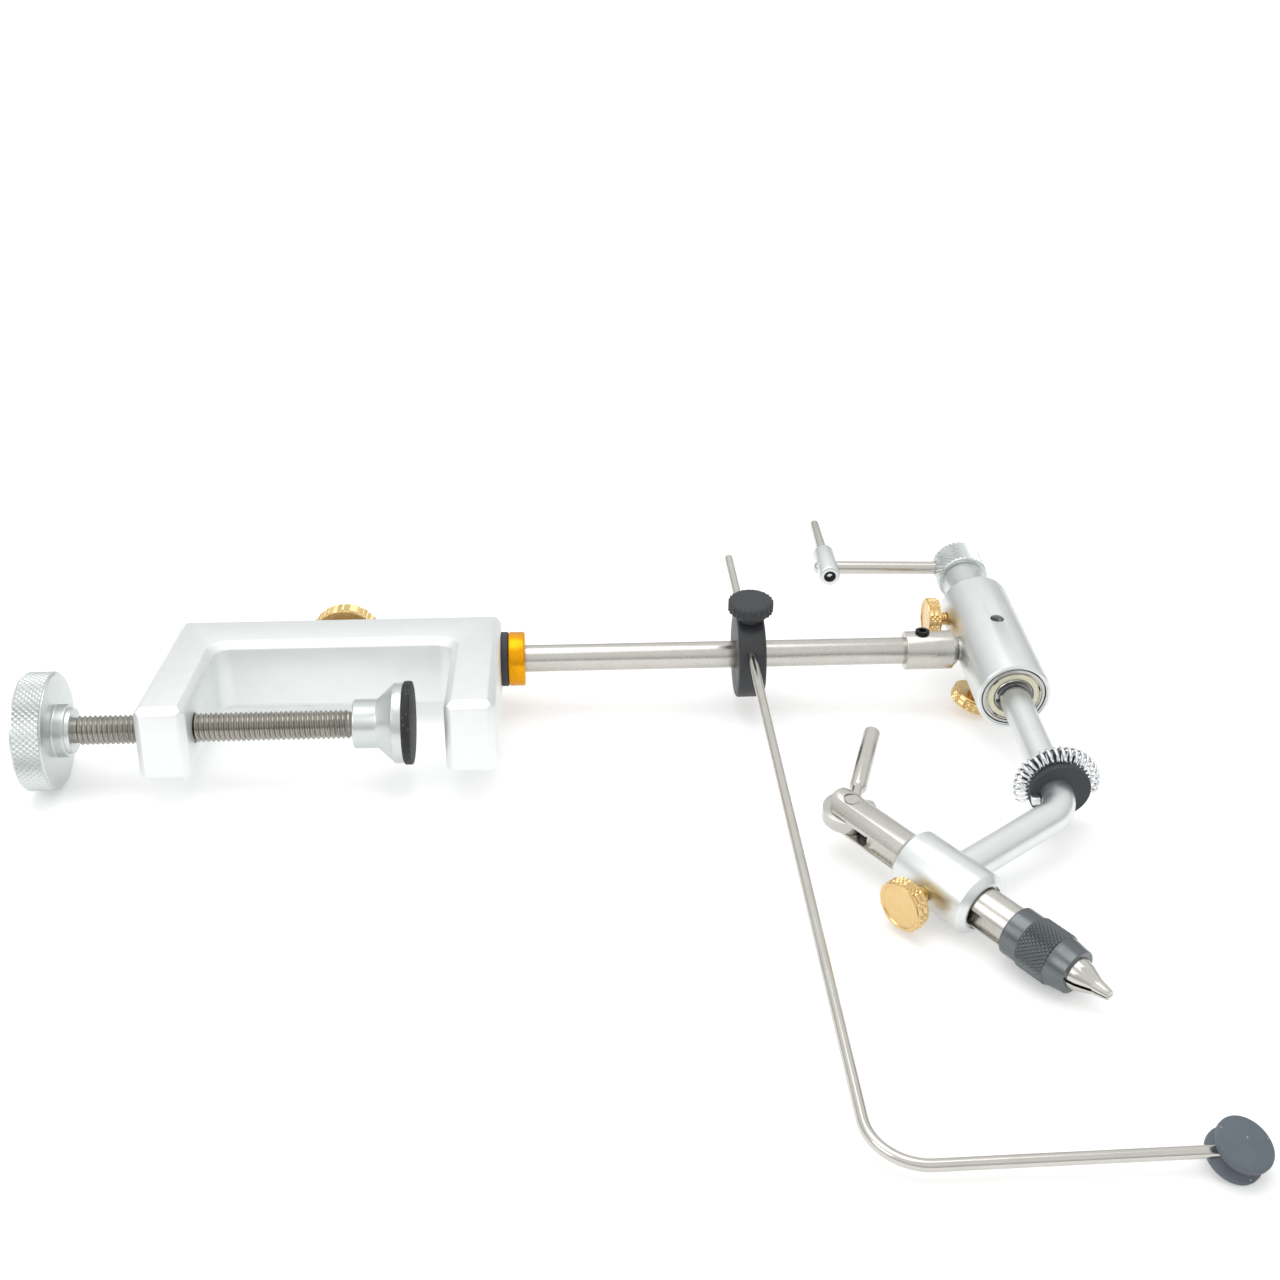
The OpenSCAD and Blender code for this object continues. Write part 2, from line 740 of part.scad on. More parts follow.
module housing() {
    seat_from = housing_front - bearing_w - seat_spare;
    color("gainsboro") rotary_place() difference() {
        turned(concat(
            [[0, -housing_rear - neck_l], [neck_d / 2 - small_edge, -housing_rear - neck_l],
            [neck_d / 2, -housing_rear - neck_l + small_edge], [neck_d / 2, -housing_rear]],
            shoulder_points(),
            [[housing_d / 2, housing_front - small_edge], [housing_d / 2 - small_edge, housing_front],
            [0, housing_front]]
        ));
        translate([0, 0, seat_from]) cylinder(h = housing_front, d = bearing_d);
        translate([0, 0, housing_front - lip_l]) cylinder(h = housing_front, d = bearing_d + 2 * lip_w);
        translate([0, 0, -housing_rear + rear_wall])
            cylinder(h = seat_from + housing_rear - rear_wall + cut, d = housing_bore_d);
        translate([0, 0, -housing_rear - neck_l - cut])
            cylinder(h = neck_l + 2 * cut + rear_wall, d = bush_d);
        radial(0) cylinder(h = housing_d, d = spigot_d);
        radial(90) cylinder(h = housing_d, d = accessory_hole_d);
        translate([0, 0, -side_screw_s]) radial(0)
            cylinder(h = housing_d, d = thumb_shank_d + 2 * running_fit);
        translate([0, 0, bottom_screw_s]) radial(-bottom_screw_angle)
            cylinder(h = housing_d, d = thumb_shank_d + 2 * running_fit);
    }
}

module rear_bushing() {
    color([0.72, 0.5, 0.26]) rotary_place() translate([0, 0, -housing_rear - neck_l]) difference() {
        cylinder(h = neck_l, d = bush_d);
        translate([0, 0, -cut]) cylinder(h = neck_l + 2 * cut, d = spindle_d + 2 * running_fit);
    }
}

// Bearing sizes, worked out from its bore and its outside
race_gap = (bearing_d - spindle_d) / 2;
ball_d = race_gap * ball_share;
ball_ring = (bearing_d + spindle_d) / 4;
race_from = housing_front - bearing_w - seat_spare;

// One race between two radii, with its ball groove
module race(inner, outer) {
    difference() {
        cylinder(h = bearing_w, r = outer);
        translate([0, 0, -cut]) cylinder(h = bearing_w + 2 * cut, r = inner);
        translate([0, 0, bearing_w / 2])
            rotate_extrude() translate([ball_ring, 0]) circle(r = ball_d / 2 + running_fit);
    }
}

module bearing_outer_race() {
    color("silver") rotary_place() translate([0, 0, race_from])
        race(bearing_d / 2 - race_gap * race_share, bearing_d / 2);
}

module bearing_inner_race() {
    color("silver") rotary_place() translate([0, 0, race_from])
        race(spindle_d / 2, spindle_d / 2 + race_gap * race_share);
}

module bearing_balls() {
    color("lightgray") rotary_place() translate([0, 0, race_from + bearing_w / 2])
        for (i = [0 : ball_n - 1]) rotate([0, 0, i * 360 / ball_n])
            translate([ball_ring, 0, 0]) sphere(d = ball_d);
}

module bearing_shields() {
    outer = bearing_d / 2 - race_gap * race_share;
    inner = spindle_d / 2 + race_gap * race_share + play;
    color([0.85, 0.82, 0.6]) rotary_place()
        for (z = [race_from + shield_t, race_from + bearing_w - 2 * shield_t]) translate([0, 0, z])
            difference() {
                cylinder(h = shield_t, r = outer);
                translate([0, 0, -cut]) cylinder(h = shield_t + 2 * cut, r = inner);
            }
}

module side_lock_screw() {
    color("goldenrod") rotary_place() translate([0, 0, -side_screw_s]) radial(0)
        translate([0, 0, spindle_d / 2 + running_fit])
            thumb_screw(thumb_shank_d, (housing_d - spindle_d) / 2 + side_gap, thumb_d, thumb_t);
}

module bottom_lock_screw() {
    color("goldenrod") rotary_place() translate([0, 0, bottom_screw_s]) radial(-bottom_screw_angle)
        translate([0, 0, spindle_d / 2 + running_fit])
            thumb_screw(thumb_shank_d, (housing_d - spindle_d) / 2 + bottom_gap, thumb_d, thumb_t);
}

// Back of the rear hub and the clip groove, measured from the post axis
hub_front = housing_rear + neck_l + hub_gap;
clip_from = race_from + bearing_w + running_fit;
arm_from = clip_from + clip_t + arm_start;

module spindle_arm() {
    tail = hub_front + hub_l - spindle_end;
    corner = [0, 0, arm_reach];
    leg = [-sin(arm_bend), 0, cos(arm_bend)];
    color("whitesmoke") rotary_place() difference() {
        union() {
            translate([0, 0, -tail]) turned([
                [0, 0], [spindle_d / 2 - small_edge, 0], [spindle_d / 2, small_edge],
                [spindle_d / 2, tail + clip_from], [spindle_d / 2 - clip_groove, tail + clip_from],
                [spindle_d / 2 - clip_groove, tail + clip_from + clip_t],
                [spindle_d / 2, tail + clip_from + clip_t],
                [spindle_d / 2, tail + arm_from + small_edge], [0, tail + arm_from + small_edge]
            ]);
            bent_bar([0, 0, arm_from], corner, corner + leg * arm_leg, arm_d / 2, arm_bend_r);
        }
        translate(corner + leg * arm_leg) rotate([-90, -arm_bend, 0])
            translate([-barrel_d, 0, 0]) along_x() cylinder(h = 2 * barrel_d, d = barrel_d);
    }
    color("whitesmoke") jaw_place() rotate([-90, 0, 0])
        translate([0, 0, barrel_d / 2 - arm_spigot_l])
            cylinder(h = arm_spigot_l + arm_d / 2, d = arm_spigot_d);
}

module spindle_clip() {
    color("dimgray") rotary_place() translate([0, 0, clip_from]) rotate([0, 0, 180 + clip_open / 2])
        rotate_extrude(angle = 360 - clip_open)
            translate([spindle_d / 2 - clip_groove, 0])
                square([(clip_d - spindle_d) / 2 + clip_groove, clip_t]);
}

module rear_hub() {
    color("whitesmoke") rotary_place() translate([0, 0, -hub_front - hub_l]) difference() {
        edged_ring(hub_d, spindle_d, hub_l, small_edge);
        translate([0, 0, hub_l - hub_screw_s]) radial(hub_screw_angle)
            cylinder(h = hub_d, d = hub_screw_d);
        translate([0, 0, hub_front + hub_l - crank_s]) radial(crank_angle) cylinder(h = hub_d, d = crank_d);
    }
}

module hub_set_screw() {
    color([0.1, 0.1, 0.1]) rotary_place() translate([0, 0, -hub_front - hub_screw_s]) radial(hub_screw_angle)
        translate([0, 0, spindle_d / 2])
            socket_screw(
                hub_screw_d, (hub_d - spindle_d) / 2 - 2 * small_edge, crank_socket_af, socket_depth
            );
}

// Frame at the outer end of the crank arm
module crank_place() { rotary_place() translate([0, 0, -crank_s]) rotate([0, 0, -crank_angle]) children(); }

module crank_arm() {
    tip = crank_r + block_d / 2 + crank_tip;
    color("silver") crank_place() radial(0) turned([
        [0, spindle_d / 2], [crank_d / 2, spindle_d / 2], [crank_d / 2, tip - crank_tip],
        [crank_d / 3, tip - crank_tip / 3], [0, tip]
    ]);
}

module crank_block() {
    color("whitesmoke") crank_place() translate([-crank_r, 0, 0]) difference() {
        translate([0, 0, block_front - block_l]) edged_bar(block_d, block_l, small_edge);
        translate([-block_d, 0, 0]) along_x() cylinder(h = 2 * block_d, d = crank_d);
        translate([0, 0, block_front - crank_screw_l - crank_screw_sunk])
            cylinder(h = block_l, d = crank_screw_d);
    }
}

module crank_set_screw() {
    color([0.08, 0.08, 0.08]) crank_place()
        translate([-crank_r, 0, block_front - crank_screw_l - crank_screw_sunk])
            socket_screw(crank_screw_d, crank_screw_l, crank_socket_af, socket_depth);
}

module crank_handle() {
    root = block_front - block_l;
    color("silver") crank_place() translate([-crank_r, 0, root - handle_l])
        cylinder(h = handle_l, d1 = handle_tip_d, d2 = handle_root_d);
}

module spring_wheel() {
    color([0.15, 0.15, 0.16]) rotary_place() difference() {
        translate([wheel_x, 0, wheel_reach - wheel_t / 2]) edged_bar(wheel_d, wheel_t, small_edge);
        translate([0, 0, wheel_reach - wheel_t]) cylinder(h = 2 * wheel_t, d = arm_d);
        translate([wheel_x, 0, wheel_reach])
            rotate_extrude() translate([spring_ring_r, 0]) circle(r = groove_r);
    }
}

// Curls of the spring round its ring, in the wheel's own frame
curl_steps = 8;
wire_sides = 6;
lead = 1.2;
function curl_point(t) = let (
    a = spring_from + spring_sweep * t,
    c = 360 * spring_curls * t,
    r = spring_ring_r + curl_d / 2 * cos(c)
) [r * cos(a), r * sin(a), curl_d / 2 * sin(c)];
function curl_normal(t) = let (a = spring_from + spring_sweep * t) [-sin(a), cos(a), 0];
spring_steps = spring_curls * curl_steps;
curl_path = [for (i = [0 : spring_steps]) curl_point(i / spring_steps)];
spring_path = concat(
    [curl_path[0] - lead * unit(curl_path[1] - curl_path[0])],
    curl_path,
    [curl_path[spring_steps] + lead * unit(curl_path[spring_steps] - curl_path[spring_steps - 1])]
);
path_last = len(spring_path) - 1;
function path_dir(i) = unit(spring_path[min(i + 1, path_last)] - spring_path[max(i - 1, 0)]);
function path_side(i) = let (
    t = min(max((i - 1) / spring_steps, 0), 1),
    d = path_dir(i),
    n = curl_normal(t)
) unit(n - d * (n * d));
function wire_ring(i) = let (d = path_dir(i), a = path_side(i), b = cross(d, a)) [
    for (k = [0 : wire_sides - 1])
        spring_path[i] + wire_d / 2 * (a * cos(360 * k / wire_sides) + b * sin(360 * k / wire_sides))
];
wire_points = [for (i = [0 : path_last]) each wire_ring(i)];
wire_faces = concat(
    [for (i = [0 : path_last - 1], k = [0 : wire_sides - 1]) let (
        a = i * wire_sides + k, b = i * wire_sides + (k + 1) % wire_sides
    ) each [[a, a + wire_sides, b], [b, a + wire_sides, b + wire_sides]]],
    [for (k = [1 : wire_sides - 2]) [0, k, k + 1]],
    [for (k = [1 : wire_sides - 2])
        [path_last * wire_sides, path_last * wire_sides + k + 1, path_last * wire_sides + k]]
);
// Least gap between the spring's own turns, measured on its points
spring_gap = min([
    for (i = [0 : spring_steps], j = [i + curl_steps / 2 : min(i + 2 * curl_steps, spring_steps)])
        norm(curl_path[i] - curl_path[j])
]) - wire_d;
echo(least_gap_of_the_spring_mm = spring_gap);

module material_spring() {
    color("lightsteelblue") rotary_place() translate([wheel_x, 0, wheel_reach])
        polyhedron(points = wire_points, faces = wire_faces);
}

module spring_clip() {
    color("silver") rotary_place()
        translate([wheel_x, 0, wheel_reach + wheel_t / 2]) rotate([0, 0, clip_angle])
            translate([clip_reach - clip_l / 2, -clip_w / 2, 0]) cube([clip_l, clip_w, clip_w]);
}

module jaw_barrel() {
    color("gainsboro") jaw_place() difference() {
        translate([-barrel_rear, 0, 0]) along_x()
            edged_bar(barrel_d, barrel_rear + barrel_front, barrel_edge);
        translate([-barrel_rear - cut, 0, 0]) along_x()
            cylinder(h = barrel_rear + barrel_front + 2 * cut, d = tube_d + 2 * running_fit);
        translate([barrel_front - barrel_mouth_l, 0, 0]) along_x()
            cylinder(h = barrel_mouth_l + cut, d = barrel_mouth_d);
        rotate([-90, 0, 0]) translate([0, 0, barrel_d / 2 - arm_spigot_l])
            cylinder(h = barrel_d, d = arm_spigot_d);
        rotate([90, 0, 0]) cylinder(h = barrel_d, d = thumb_shank_d + 2 * running_fit);
    }
}

module barrel_lock_screw() {
    tip = tube_d / 2 - key_depth + play;
    color("goldenrod") jaw_place() rotate([90, 0, 0]) translate([0, 0, tip])
        thumb_screw(thumb_shank_d, barrel_d / 2 + barrel_gap - tip, thumb_d, thumb_t);
}

module jaw_tube() {
    tail = pin_reach + tube_d / 2;
    color("silver") jaw_place() difference() {
        intersection() {
            translate([-tail, 0, 0]) along_x() edged_bar(tube_d, tail + tube_front, small_edge / 2);
            union() {
                translate([-pin_reach, 0, -tube_d]) cylinder(h = 2 * tube_d, d = tube_d);
                translate([-pin_reach, -tube_d, -tube_d])
                    cube([pin_reach + tube_front + cut, 2 * tube_d, 2 * tube_d]);
            }
        }
        translate([-bore_rear, 0, 0]) along_x() cylinder(h = bore_rear + bore_step_from, d = tube_bore_d);
        translate([-fork_root, 0, 0]) along_x() cylinder(h = fork_root + tube_front, d = neck_bore_d);
        translate([bore_step_to, 0, 0]) along_x() cylinder(h = tube_front, d = tube_bore_d);
        translate([-tail - cut, -tube_d, -fork_slot / 2])
            cube([tail + cut - fork_root, 2 * tube_d, fork_slot]);
        translate([-pin_reach, 0, -tube_d]) cylinder(h = 2 * tube_d, d = pin_d);
        translate([-pin_reach, 0, tube_d / 2 - pin_ring_l]) cylinder(h = tube_d, d = pin_ring_d);
        keyway();
    }
}

// Keyway for the tip of the barrel screw, a slot with round ends
module keyway() {
    floor_y = -tube_d / 2 + key_depth;
    for (x = [-key_rear, key_front])
        translate([x, floor_y, 0]) rotate([90, 0, 0]) cylinder(h = tube_d, d = key_w);
    translate([-key_rear, floor_y - tube_d, -key_w / 2]) cube([key_rear + key_front, tube_d, key_w]);
}

module cam_pin() {
    color("silver") jaw_place() translate([-pin_reach, 0, -tube_d / 2 + pin_inset])
        cylinder(h = tube_d - 2 * pin_inset, d = pin_d);
}

module cam_disc() {
    t = fork_slot - 2 * cam_play;
    color("gray") jaw_place() translate([-pin_reach, 0, -t / 2]) difference() {
        rotate([0, 0, cam_side_angle]) translate([cam_throw, 0, 0]) cylinder(h = t, d = cam_d);
        translate([0, 0, -cut]) cylinder(h = t + 2 * cut, d = pin_d + 2 * running_fit);
        translate([0, 0, t / 2]) rotate([0, 0, lever_angle]) translate([cam_d / 2 - 2 * cut, -lever_d, -t])
            cube([cam_d, 2 * lever_d, 2 * t]);
    }
}

module cam_lever() {
    t = fork_slot - 2 * cam_play;
    root = cam_d / 2 - 2 * cut;
    color("silver") jaw_place() translate([-pin_reach, 0, 0]) rotate([0, 0, lever_angle]) {
        intersection() {
            translate([root, 0, 0]) along_x() turned([
                [0, 0], [lever_d / 2, 0], [lever_d / 2, lever_l - root - small_edge],
                [lever_d / 2 - small_edge, lever_l - root], [0, lever_l - root]
            ]);
            union() {
                translate([0, -lever_d, -t / 2]) cube([lever_flat_to + cut, 2 * lever_d, t]);
                translate([lever_flat_to, -lever_d, -lever_d]) cube([lever_l, 2 * lever_d, 2 * lever_d]);
            }
        }
    }
}

module draw_bar() {
    rear = pin_reach - cam_d / 2 - cam_throw * cos(cam_side_angle) - cam_rest_gap;
    color("silver") jaw_place() translate([-rear, 0, 0]) along_x() turned([
        [0, 0], [tube_bore_d / 2 - running_fit, 0], [tube_bore_d / 2 - running_fit, rear + plunger_to],
        [bar_neck_d / 2, rear + plunger_to], [bar_neck_d / 2, rear + bar_front], [0, rear + bar_front]
    ]);
}

module return_spring() {
    color("lightgray") jaw_place() translate([plunger_to, 0, 0]) along_x() difference() {
        cylinder(h = spring_front - plunger_to, d = spring_outer_d);
        translate([0, 0, -cut]) cylinder(h = spring_front, d = bar_neck_d + 2 * play);
    }
}

// Both jaws before they are parted, from root to tip along Z
module jaw_blank() {
    shoulder = collar_end + jaw_out * jaw_shoulder_share;
    waist = collar_end + jaw_out * jaw_waist_share;
    turned([
        [0, jaw_root], [jaw_root_d / 2, jaw_root], [jaw_root_d / 2, jaw_root_to],
        [jaw_cone_d / 2, jaw_cone_from], [mouth_d / 2 - play, collar_end],
        [jaw_shoulder_d / 2, shoulder], [jaw_waist_d / 2, waist], [jaw_tip_d / 2, jaw_tip], [0, jaw_tip]
    ]);
}

// The half of the jaw blank above the slit
module half_jaw() {
    waist = collar_end + jaw_out * jaw_waist_share;
    difference() {
        along_x() jaw_blank();
        translate([jaw_root - cut, -jaw_cone_d, -2 * jaw_cone_d])
            cube([jaw_tip, 2 * jaw_cone_d, 2 * jaw_cone_d + jaw_slit / 2]);
        translate([jaw_root_to, -jaw_cone_d, 0]) cube([waist - jaw_root_to, 2 * jaw_cone_d, jaw_relief]);
    }
}

module jaw_upper() { color("silver") jaw_place() half_jaw(); }

module jaw_lower() { color("silver") jaw_place() mirror([0, 0, 1]) half_jaw(); }

module jaw_collar() {
    flange = collar_flange_d / 2;
    band = knurl_d / 2;
    bore = tube_d / 2 + running_fit;
    band_from = collar_start + collar_flange_l;
    band_to = band_from + band_l;
    color([0.25, 0.27, 0.29]) jaw_place() along_x() turned([
        [bore, collar_start], [flange - small_edge, collar_start], [flange, collar_start + small_edge],
        [flange, band_from], [band, band_from + collar_step],
        [band, band_to], [band - collar_step, band_to + collar_step],
        [nose_d / 2, collar_end - small_edge], [nose_d / 2 - small_edge, collar_end],
        [mouth_d / 2, collar_end], [seat_d / 2, tube_front + collar_step], [bore, tube_front + collar_step]
    ]);
}

clamp_frame();
clamp_screw();
clamp_knob();
pivot_ring();
clamp_foot();
clamp_pad();
stem_lock_screw();
post();
post_washer();
stop_collar();
collar_set_screw();
cradle_block();
cradle_plug();
cradle_knob();
cradle_rod();
thread_pulley();
coupling();
coupling_set_screw();
housing();
rear_bushing();
bearing_outer_race();
bearing_inner_race();
bearing_balls();
bearing_shields();
side_lock_screw();
bottom_lock_screw();
spindle_arm();
spindle_clip();
rear_hub();
hub_set_screw();
crank_arm();
crank_block();
crank_set_screw();
crank_handle();
spring_wheel();
material_spring();
spring_clip();
jaw_barrel();
barrel_lock_screw();
jaw_tube();
cam_pin();
cam_disc();
cam_lever();
draw_bar();
return_spring();
jaw_upper();
jaw_lower();
jaw_collar();
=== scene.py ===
"""Dresses a fly tying vise that lies on its side on a white table."""

import logging
import math
from dataclasses import dataclass
from enum import Enum
from typing import Callable, Iterable, Sequence

import bmesh
import bpy
from mathutils import Matrix, Vector


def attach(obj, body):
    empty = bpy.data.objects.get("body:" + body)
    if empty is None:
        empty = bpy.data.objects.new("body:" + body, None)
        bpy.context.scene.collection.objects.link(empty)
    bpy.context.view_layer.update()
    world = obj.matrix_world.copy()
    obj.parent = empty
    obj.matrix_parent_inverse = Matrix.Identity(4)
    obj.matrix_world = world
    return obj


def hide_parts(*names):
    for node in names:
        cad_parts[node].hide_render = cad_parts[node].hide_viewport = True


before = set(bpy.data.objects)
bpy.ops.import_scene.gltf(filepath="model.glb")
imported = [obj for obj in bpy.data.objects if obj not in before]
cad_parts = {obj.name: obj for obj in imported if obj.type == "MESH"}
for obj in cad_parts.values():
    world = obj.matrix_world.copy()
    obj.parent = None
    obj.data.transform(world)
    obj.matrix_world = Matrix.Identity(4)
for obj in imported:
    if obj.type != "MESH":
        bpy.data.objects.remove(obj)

MM = 0.001
# Tolerances in millimetres: points that merge, and points that count as on a ring.
TINY = 1e-4
NEAR = 1e-3
# In degrees: an edge sharper than this is broken, and faces this close make one flat.
SHARP = 30.0
FLAT = 0.5
LOG = logging.getLogger("vise")

Object = bpy.types.Object
Tree = bpy.types.NodeTree
Socket = bpy.types.NodeSocket
Node = bpy.types.Node
Station = tuple[float, float]
Rule = Callable[[int, int], bool]


# Places: each matrix takes a piece's own millimetres to the row frame, still in millimetres.

CLAMP_TILT = 4.57
CRADLE_X = 38.4
CRADLE_TILT = 6.1
ROD_SIDE = 0.62
ROD_HEIGHT = 7.16
ROD_YAW = 1.37
HOUSING_X = 126.1
ROTARY_TILT = 5.28
BEARING_SEAT = 23.46
ARM_REACH = 92.7
ARM_BEND = 54.5
ARM_LEG = 53.5
FLOOR_SLOPE = 0.025
LOCK_TIP = 4.8125


def turn(degrees: float, axis: str) -> Matrix:
    """A turn about an axis, as a 4 by 4 matrix."""
    return Matrix.Rotation(math.radians(degrees), 4, axis)


def move(x: float, y: float, z: float) -> Matrix:
    """A shift in millimetres, as a 4 by 4 matrix."""
    return Matrix.Translation((x, y, z))


class Place(Enum):
    """The frames that the vise's sub-assemblies are built in."""

    CLAMP = "clamp"
    CRADLE = "cradle"
    ROD = "rod"
    ROTARY = "rotary"
    JAW = "jaw"

    @property
    def matrix(self) -> Matrix:
        """The matrix from this frame to the row frame."""
        cradle = move(CRADLE_X, 0, 0) @ turn(CRADLE_TILT, "X")
        rotary = move(HOUSING_X, 0, 0) @ turn(90 + ROTARY_TILT, "X")
        bend = math.radians(ARM_BEND)
        barrel = move(-ARM_LEG * math.sin(bend), 0, ARM_REACH + ARM_LEG * math.cos(bend))
        return {
            Place.CLAMP: turn(-CLAMP_TILT, "X"),
            Place.CRADLE: cradle,
            Place.ROD: cradle @ move(-ROD_SIDE, 0, ROD_HEIGHT) @ turn(ROD_YAW, "Z"),
            Place.ROTARY: rotary,
            Place.JAW: rotary @ barrel @ turn(-ARM_BEND, "Y") @ turn(-90, "X"),
        }[self]


ALONG_X = turn(90, "Y")


def radial(angle: float) -> Matrix:
    """Turns Z outward from the rotary axis, at an angle above the post's side."""
    return turn(180 - angle, "Z") @ ALONG_X


# Modelling


def deselect() -> None:
    """Leaves nothing selected."""
    for obj in bpy.context.selected_objects:
        obj.select_set(False)


def activate(obj: Object) -> Object:
    """Selects one object alone and makes it active."""
    deselect()
    obj.select_set(True)
    bpy.context.view_layer.objects.active = obj
    return obj


def select_verts(obj: Object, test: Callable[[Vector], bool]) -> None:
    """Selects the vertices of the mesh being edited that pass a test on their place.

    Args:
        obj: the object in edit mode.
        test: takes a vertex's place and says whether it is wanted.
    """
    bpy.ops.mesh.select_mode(type="VERT")
    mesh = bmesh.from_edit_mesh(obj.data)
    for vert in mesh.verts:
        vert.select_set(test(vert.co))
    mesh.select_flush(True)
    bmesh.update_edit_mesh(obj.data)


def apply_modifier(obj: Object, kind: str, **settings: object) -> None:
    """Adds a modifier with its settings and applies it.

    Args:
        obj: the object to change.
        kind: the modifier's type.
        settings: its properties.
    """
    activate(obj)
    modifier = obj.modifiers.new(kind.lower(), kind)
    for key, value in settings.items():
        setattr(modifier, key, value)
    bpy.ops.object.modifier_apply(modifier=modifier.name)


def begin_edit() -> None:
    """Starts to edit the active mesh, with everything selected."""
    bpy.ops.object.mode_set(mode="EDIT")
    bpy.ops.mesh.select_all(action="SELECT")


def end_edit(merge: bool = False) -> None:
    """Merges doubles if asked, points the faces outwards and stops editing."""
    bpy.ops.mesh.select_all(action="SELECT")
    if merge:
        bpy.ops.mesh.remove_doubles(threshold=TINY)
    bpy.ops.mesh.normals_make_consistent(inside=False)
    bpy.ops.object.mode_set(mode="OBJECT")


def circle(name: str, sides: int, r: float, fill: str = "NOTHING") -> Object:
    """Adds a circle about Z at the origin, with nothing else selected."""
    deselect()
    bpy.ops.mesh.primitive_circle_add(vertices=sides, radius=r, fill_type=fill, location=(0, 0, 0))
    obj = bpy.context.active_object
    obj.name = obj.data.name = name
    return obj


def smooth(obj: Object, angle: float = 32) -> Object:
    """Shades a piece smooth except over edges sharper than an angle."""
    activate(obj)
    bpy.ops.object.shade_smooth_by_angle(angle=math.radians(angle))
    return obj


def set_down(obj: Object, matrix: Matrix) -> Object:
    """Takes a mesh from its own millimetres to its place, in metres; its object stays at the origin."""
    obj.data.transform(Matrix.Scale(MM, 4) @ matrix @ obj.matrix_world)
    obj.matrix_world = Matrix.Identity(4)
    obj.data.update()
    return obj


def joined(pieces: Sequence[Object]) -> Object:
    """Makes several meshes one object, which keeps the first one's name."""
    activate(pieces[0])
    for piece in pieces:
        piece.select_set(True)
    bpy.ops.object.join()
    return pieces[0]


def arc(cx: float, cz: float, r: float, start: float, end: float, n: int = 3) -> list[Station]:
    """Points of an arc in a turned outline.

    Args:
        cx: distance of the arc's centre from the axis.
        cz: height of the arc's centre.
        r: radius.
        start: first angle, in degrees from the outward direction.
        end: last angle.
        n: number of steps.

    Returns:
        The points, from first to last.
    """
    steps = [math.radians(start + (end - start) * i / n) for i in range(n + 1)]
    return [(cx + r * math.cos(a), cz + r * math.sin(a)) for a in steps]


def lower(r: float, z: float, edge: float) -> list[Station]:
    """A rounded corner, from a bottom face at height z to the side."""
    return arc(r - edge, z + edge, edge, -90, 0)


def upper(r: float, z: float, edge: float) -> list[Station]:
    """A rounded corner, from the side to a top face at height z."""
    return arc(r - edge, z - edge, edge, 0, 90)


def band(r: float, low: float, high: float, rings: int) -> list[Station]:
    """Evenly spaced stations of one radius, for a knurled or fluted band."""
    return [(r, low + (high - low) * i / rings) for i in range(rings + 1)]


def turned(name: str, outline: Sequence[Station], segments: int = 64) -> Object:
    """Turns a piece from a circle, extruded ring by ring along its outline.

    Args:
        name: the piece's name.
        outline: (radius, height) of each ring; a radius of 0 closes an end in a pole, and an
            outline that comes back to its first ring closes on itself.
        segments: faces round the axis.

    Returns:
        The object, in its own millimetres, with Z as its axis.
    """
    rings = [p for p in outline if p[0] > 0]
    obj = circle(name, segments, rings[0][0])
    begin_edit()
    bpy.ops.transform.translate(value=(0, 0, rings[0][1]))
    if outline[0][0] == 0:
        bpy.ops.mesh.edge_face_add()
        bpy.ops.mesh.poke()
        select_verts(obj, lambda co: co.xy.length < TINY)
        bpy.ops.transform.translate(value=(0, 0, outline[0][1] - rings[0][1]))
        select_verts(obj, lambda co: co.xy.length > TINY)
    for (r0, z0), (r1, z1) in zip(rings, rings[1:]):
        bpy.ops.mesh.extrude_region_move(TRANSFORM_OT_translate={"value": (0, 0, z1 - z0)})
        bpy.ops.transform.resize(value=(r1 / r0, r1 / r0, 1), center_override=(0, 0, z1))
    if outline[-1][0] == 0:
        bpy.ops.mesh.extrude_region_move(
            TRANSFORM_OT_translate={"value": (0, 0, outline[-1][1] - rings[-1][1])}
        )
        bpy.ops.mesh.merge(type="CENTER")
    end_edit(merge=True)
    return obj


def raise_band(obj: Object, low: float, high: float, rings: int, segments: int,
               height: float, rule: Rule) -> None:
    """Knurls or flutes a band by lifting some of its points.

    Args:
        obj: a turned piece in its own millimetres.
        low: height of the band's first ring.
        high: height of its last ring.
        rings: steps between them.
        segments: faces round the axis.
        height: how far the chosen points are lifted.
        rule: takes a point's ring and its number round the axis, and says whether it is lifted.
    """
    step = (high - low) / rings
    rim = max(v.co.xy.length for v in obj.data.vertices if low - NEAR <= v.co.z <= high + NEAR)

    def chosen(co: Vector) -> bool:
        """Whether a point stands in the band and is lifted."""
        if co.xy.length < rim - NEAR or not low - NEAR <= co.z <= high + NEAR:
            return False
        ring = round((co.z - low) / step)
        return rule(ring, round(math.atan2(co.y, co.x) / math.tau * segments) % segments)

    activate(obj)
    bpy.ops.object.mode_set(mode="EDIT")
    select_verts(obj, chosen)
    bpy.ops.transform.resize(value=((rim + height) / rim,) * 2 + (1,), center_override=(0, 0, 0))
    select_verts(obj, lambda co: co.xy.length > rim - NEAR and low - NEAR <= co.z <= high + NEAR)
    bpy.ops.mesh.quads_convert_to_tris(quad_method="SHORTEST_DIAGONAL")
    bpy.ops.object.mode_set(mode="OBJECT")


def diamond(ring: int, place: int) -> bool:
    """Two crossing sets of grooves."""
    return (ring + place) % 2 == 0


def slanted(ring: int, place: int) -> bool:
    """One set of slanting grooves."""
    return (ring + place) % 4 < 2


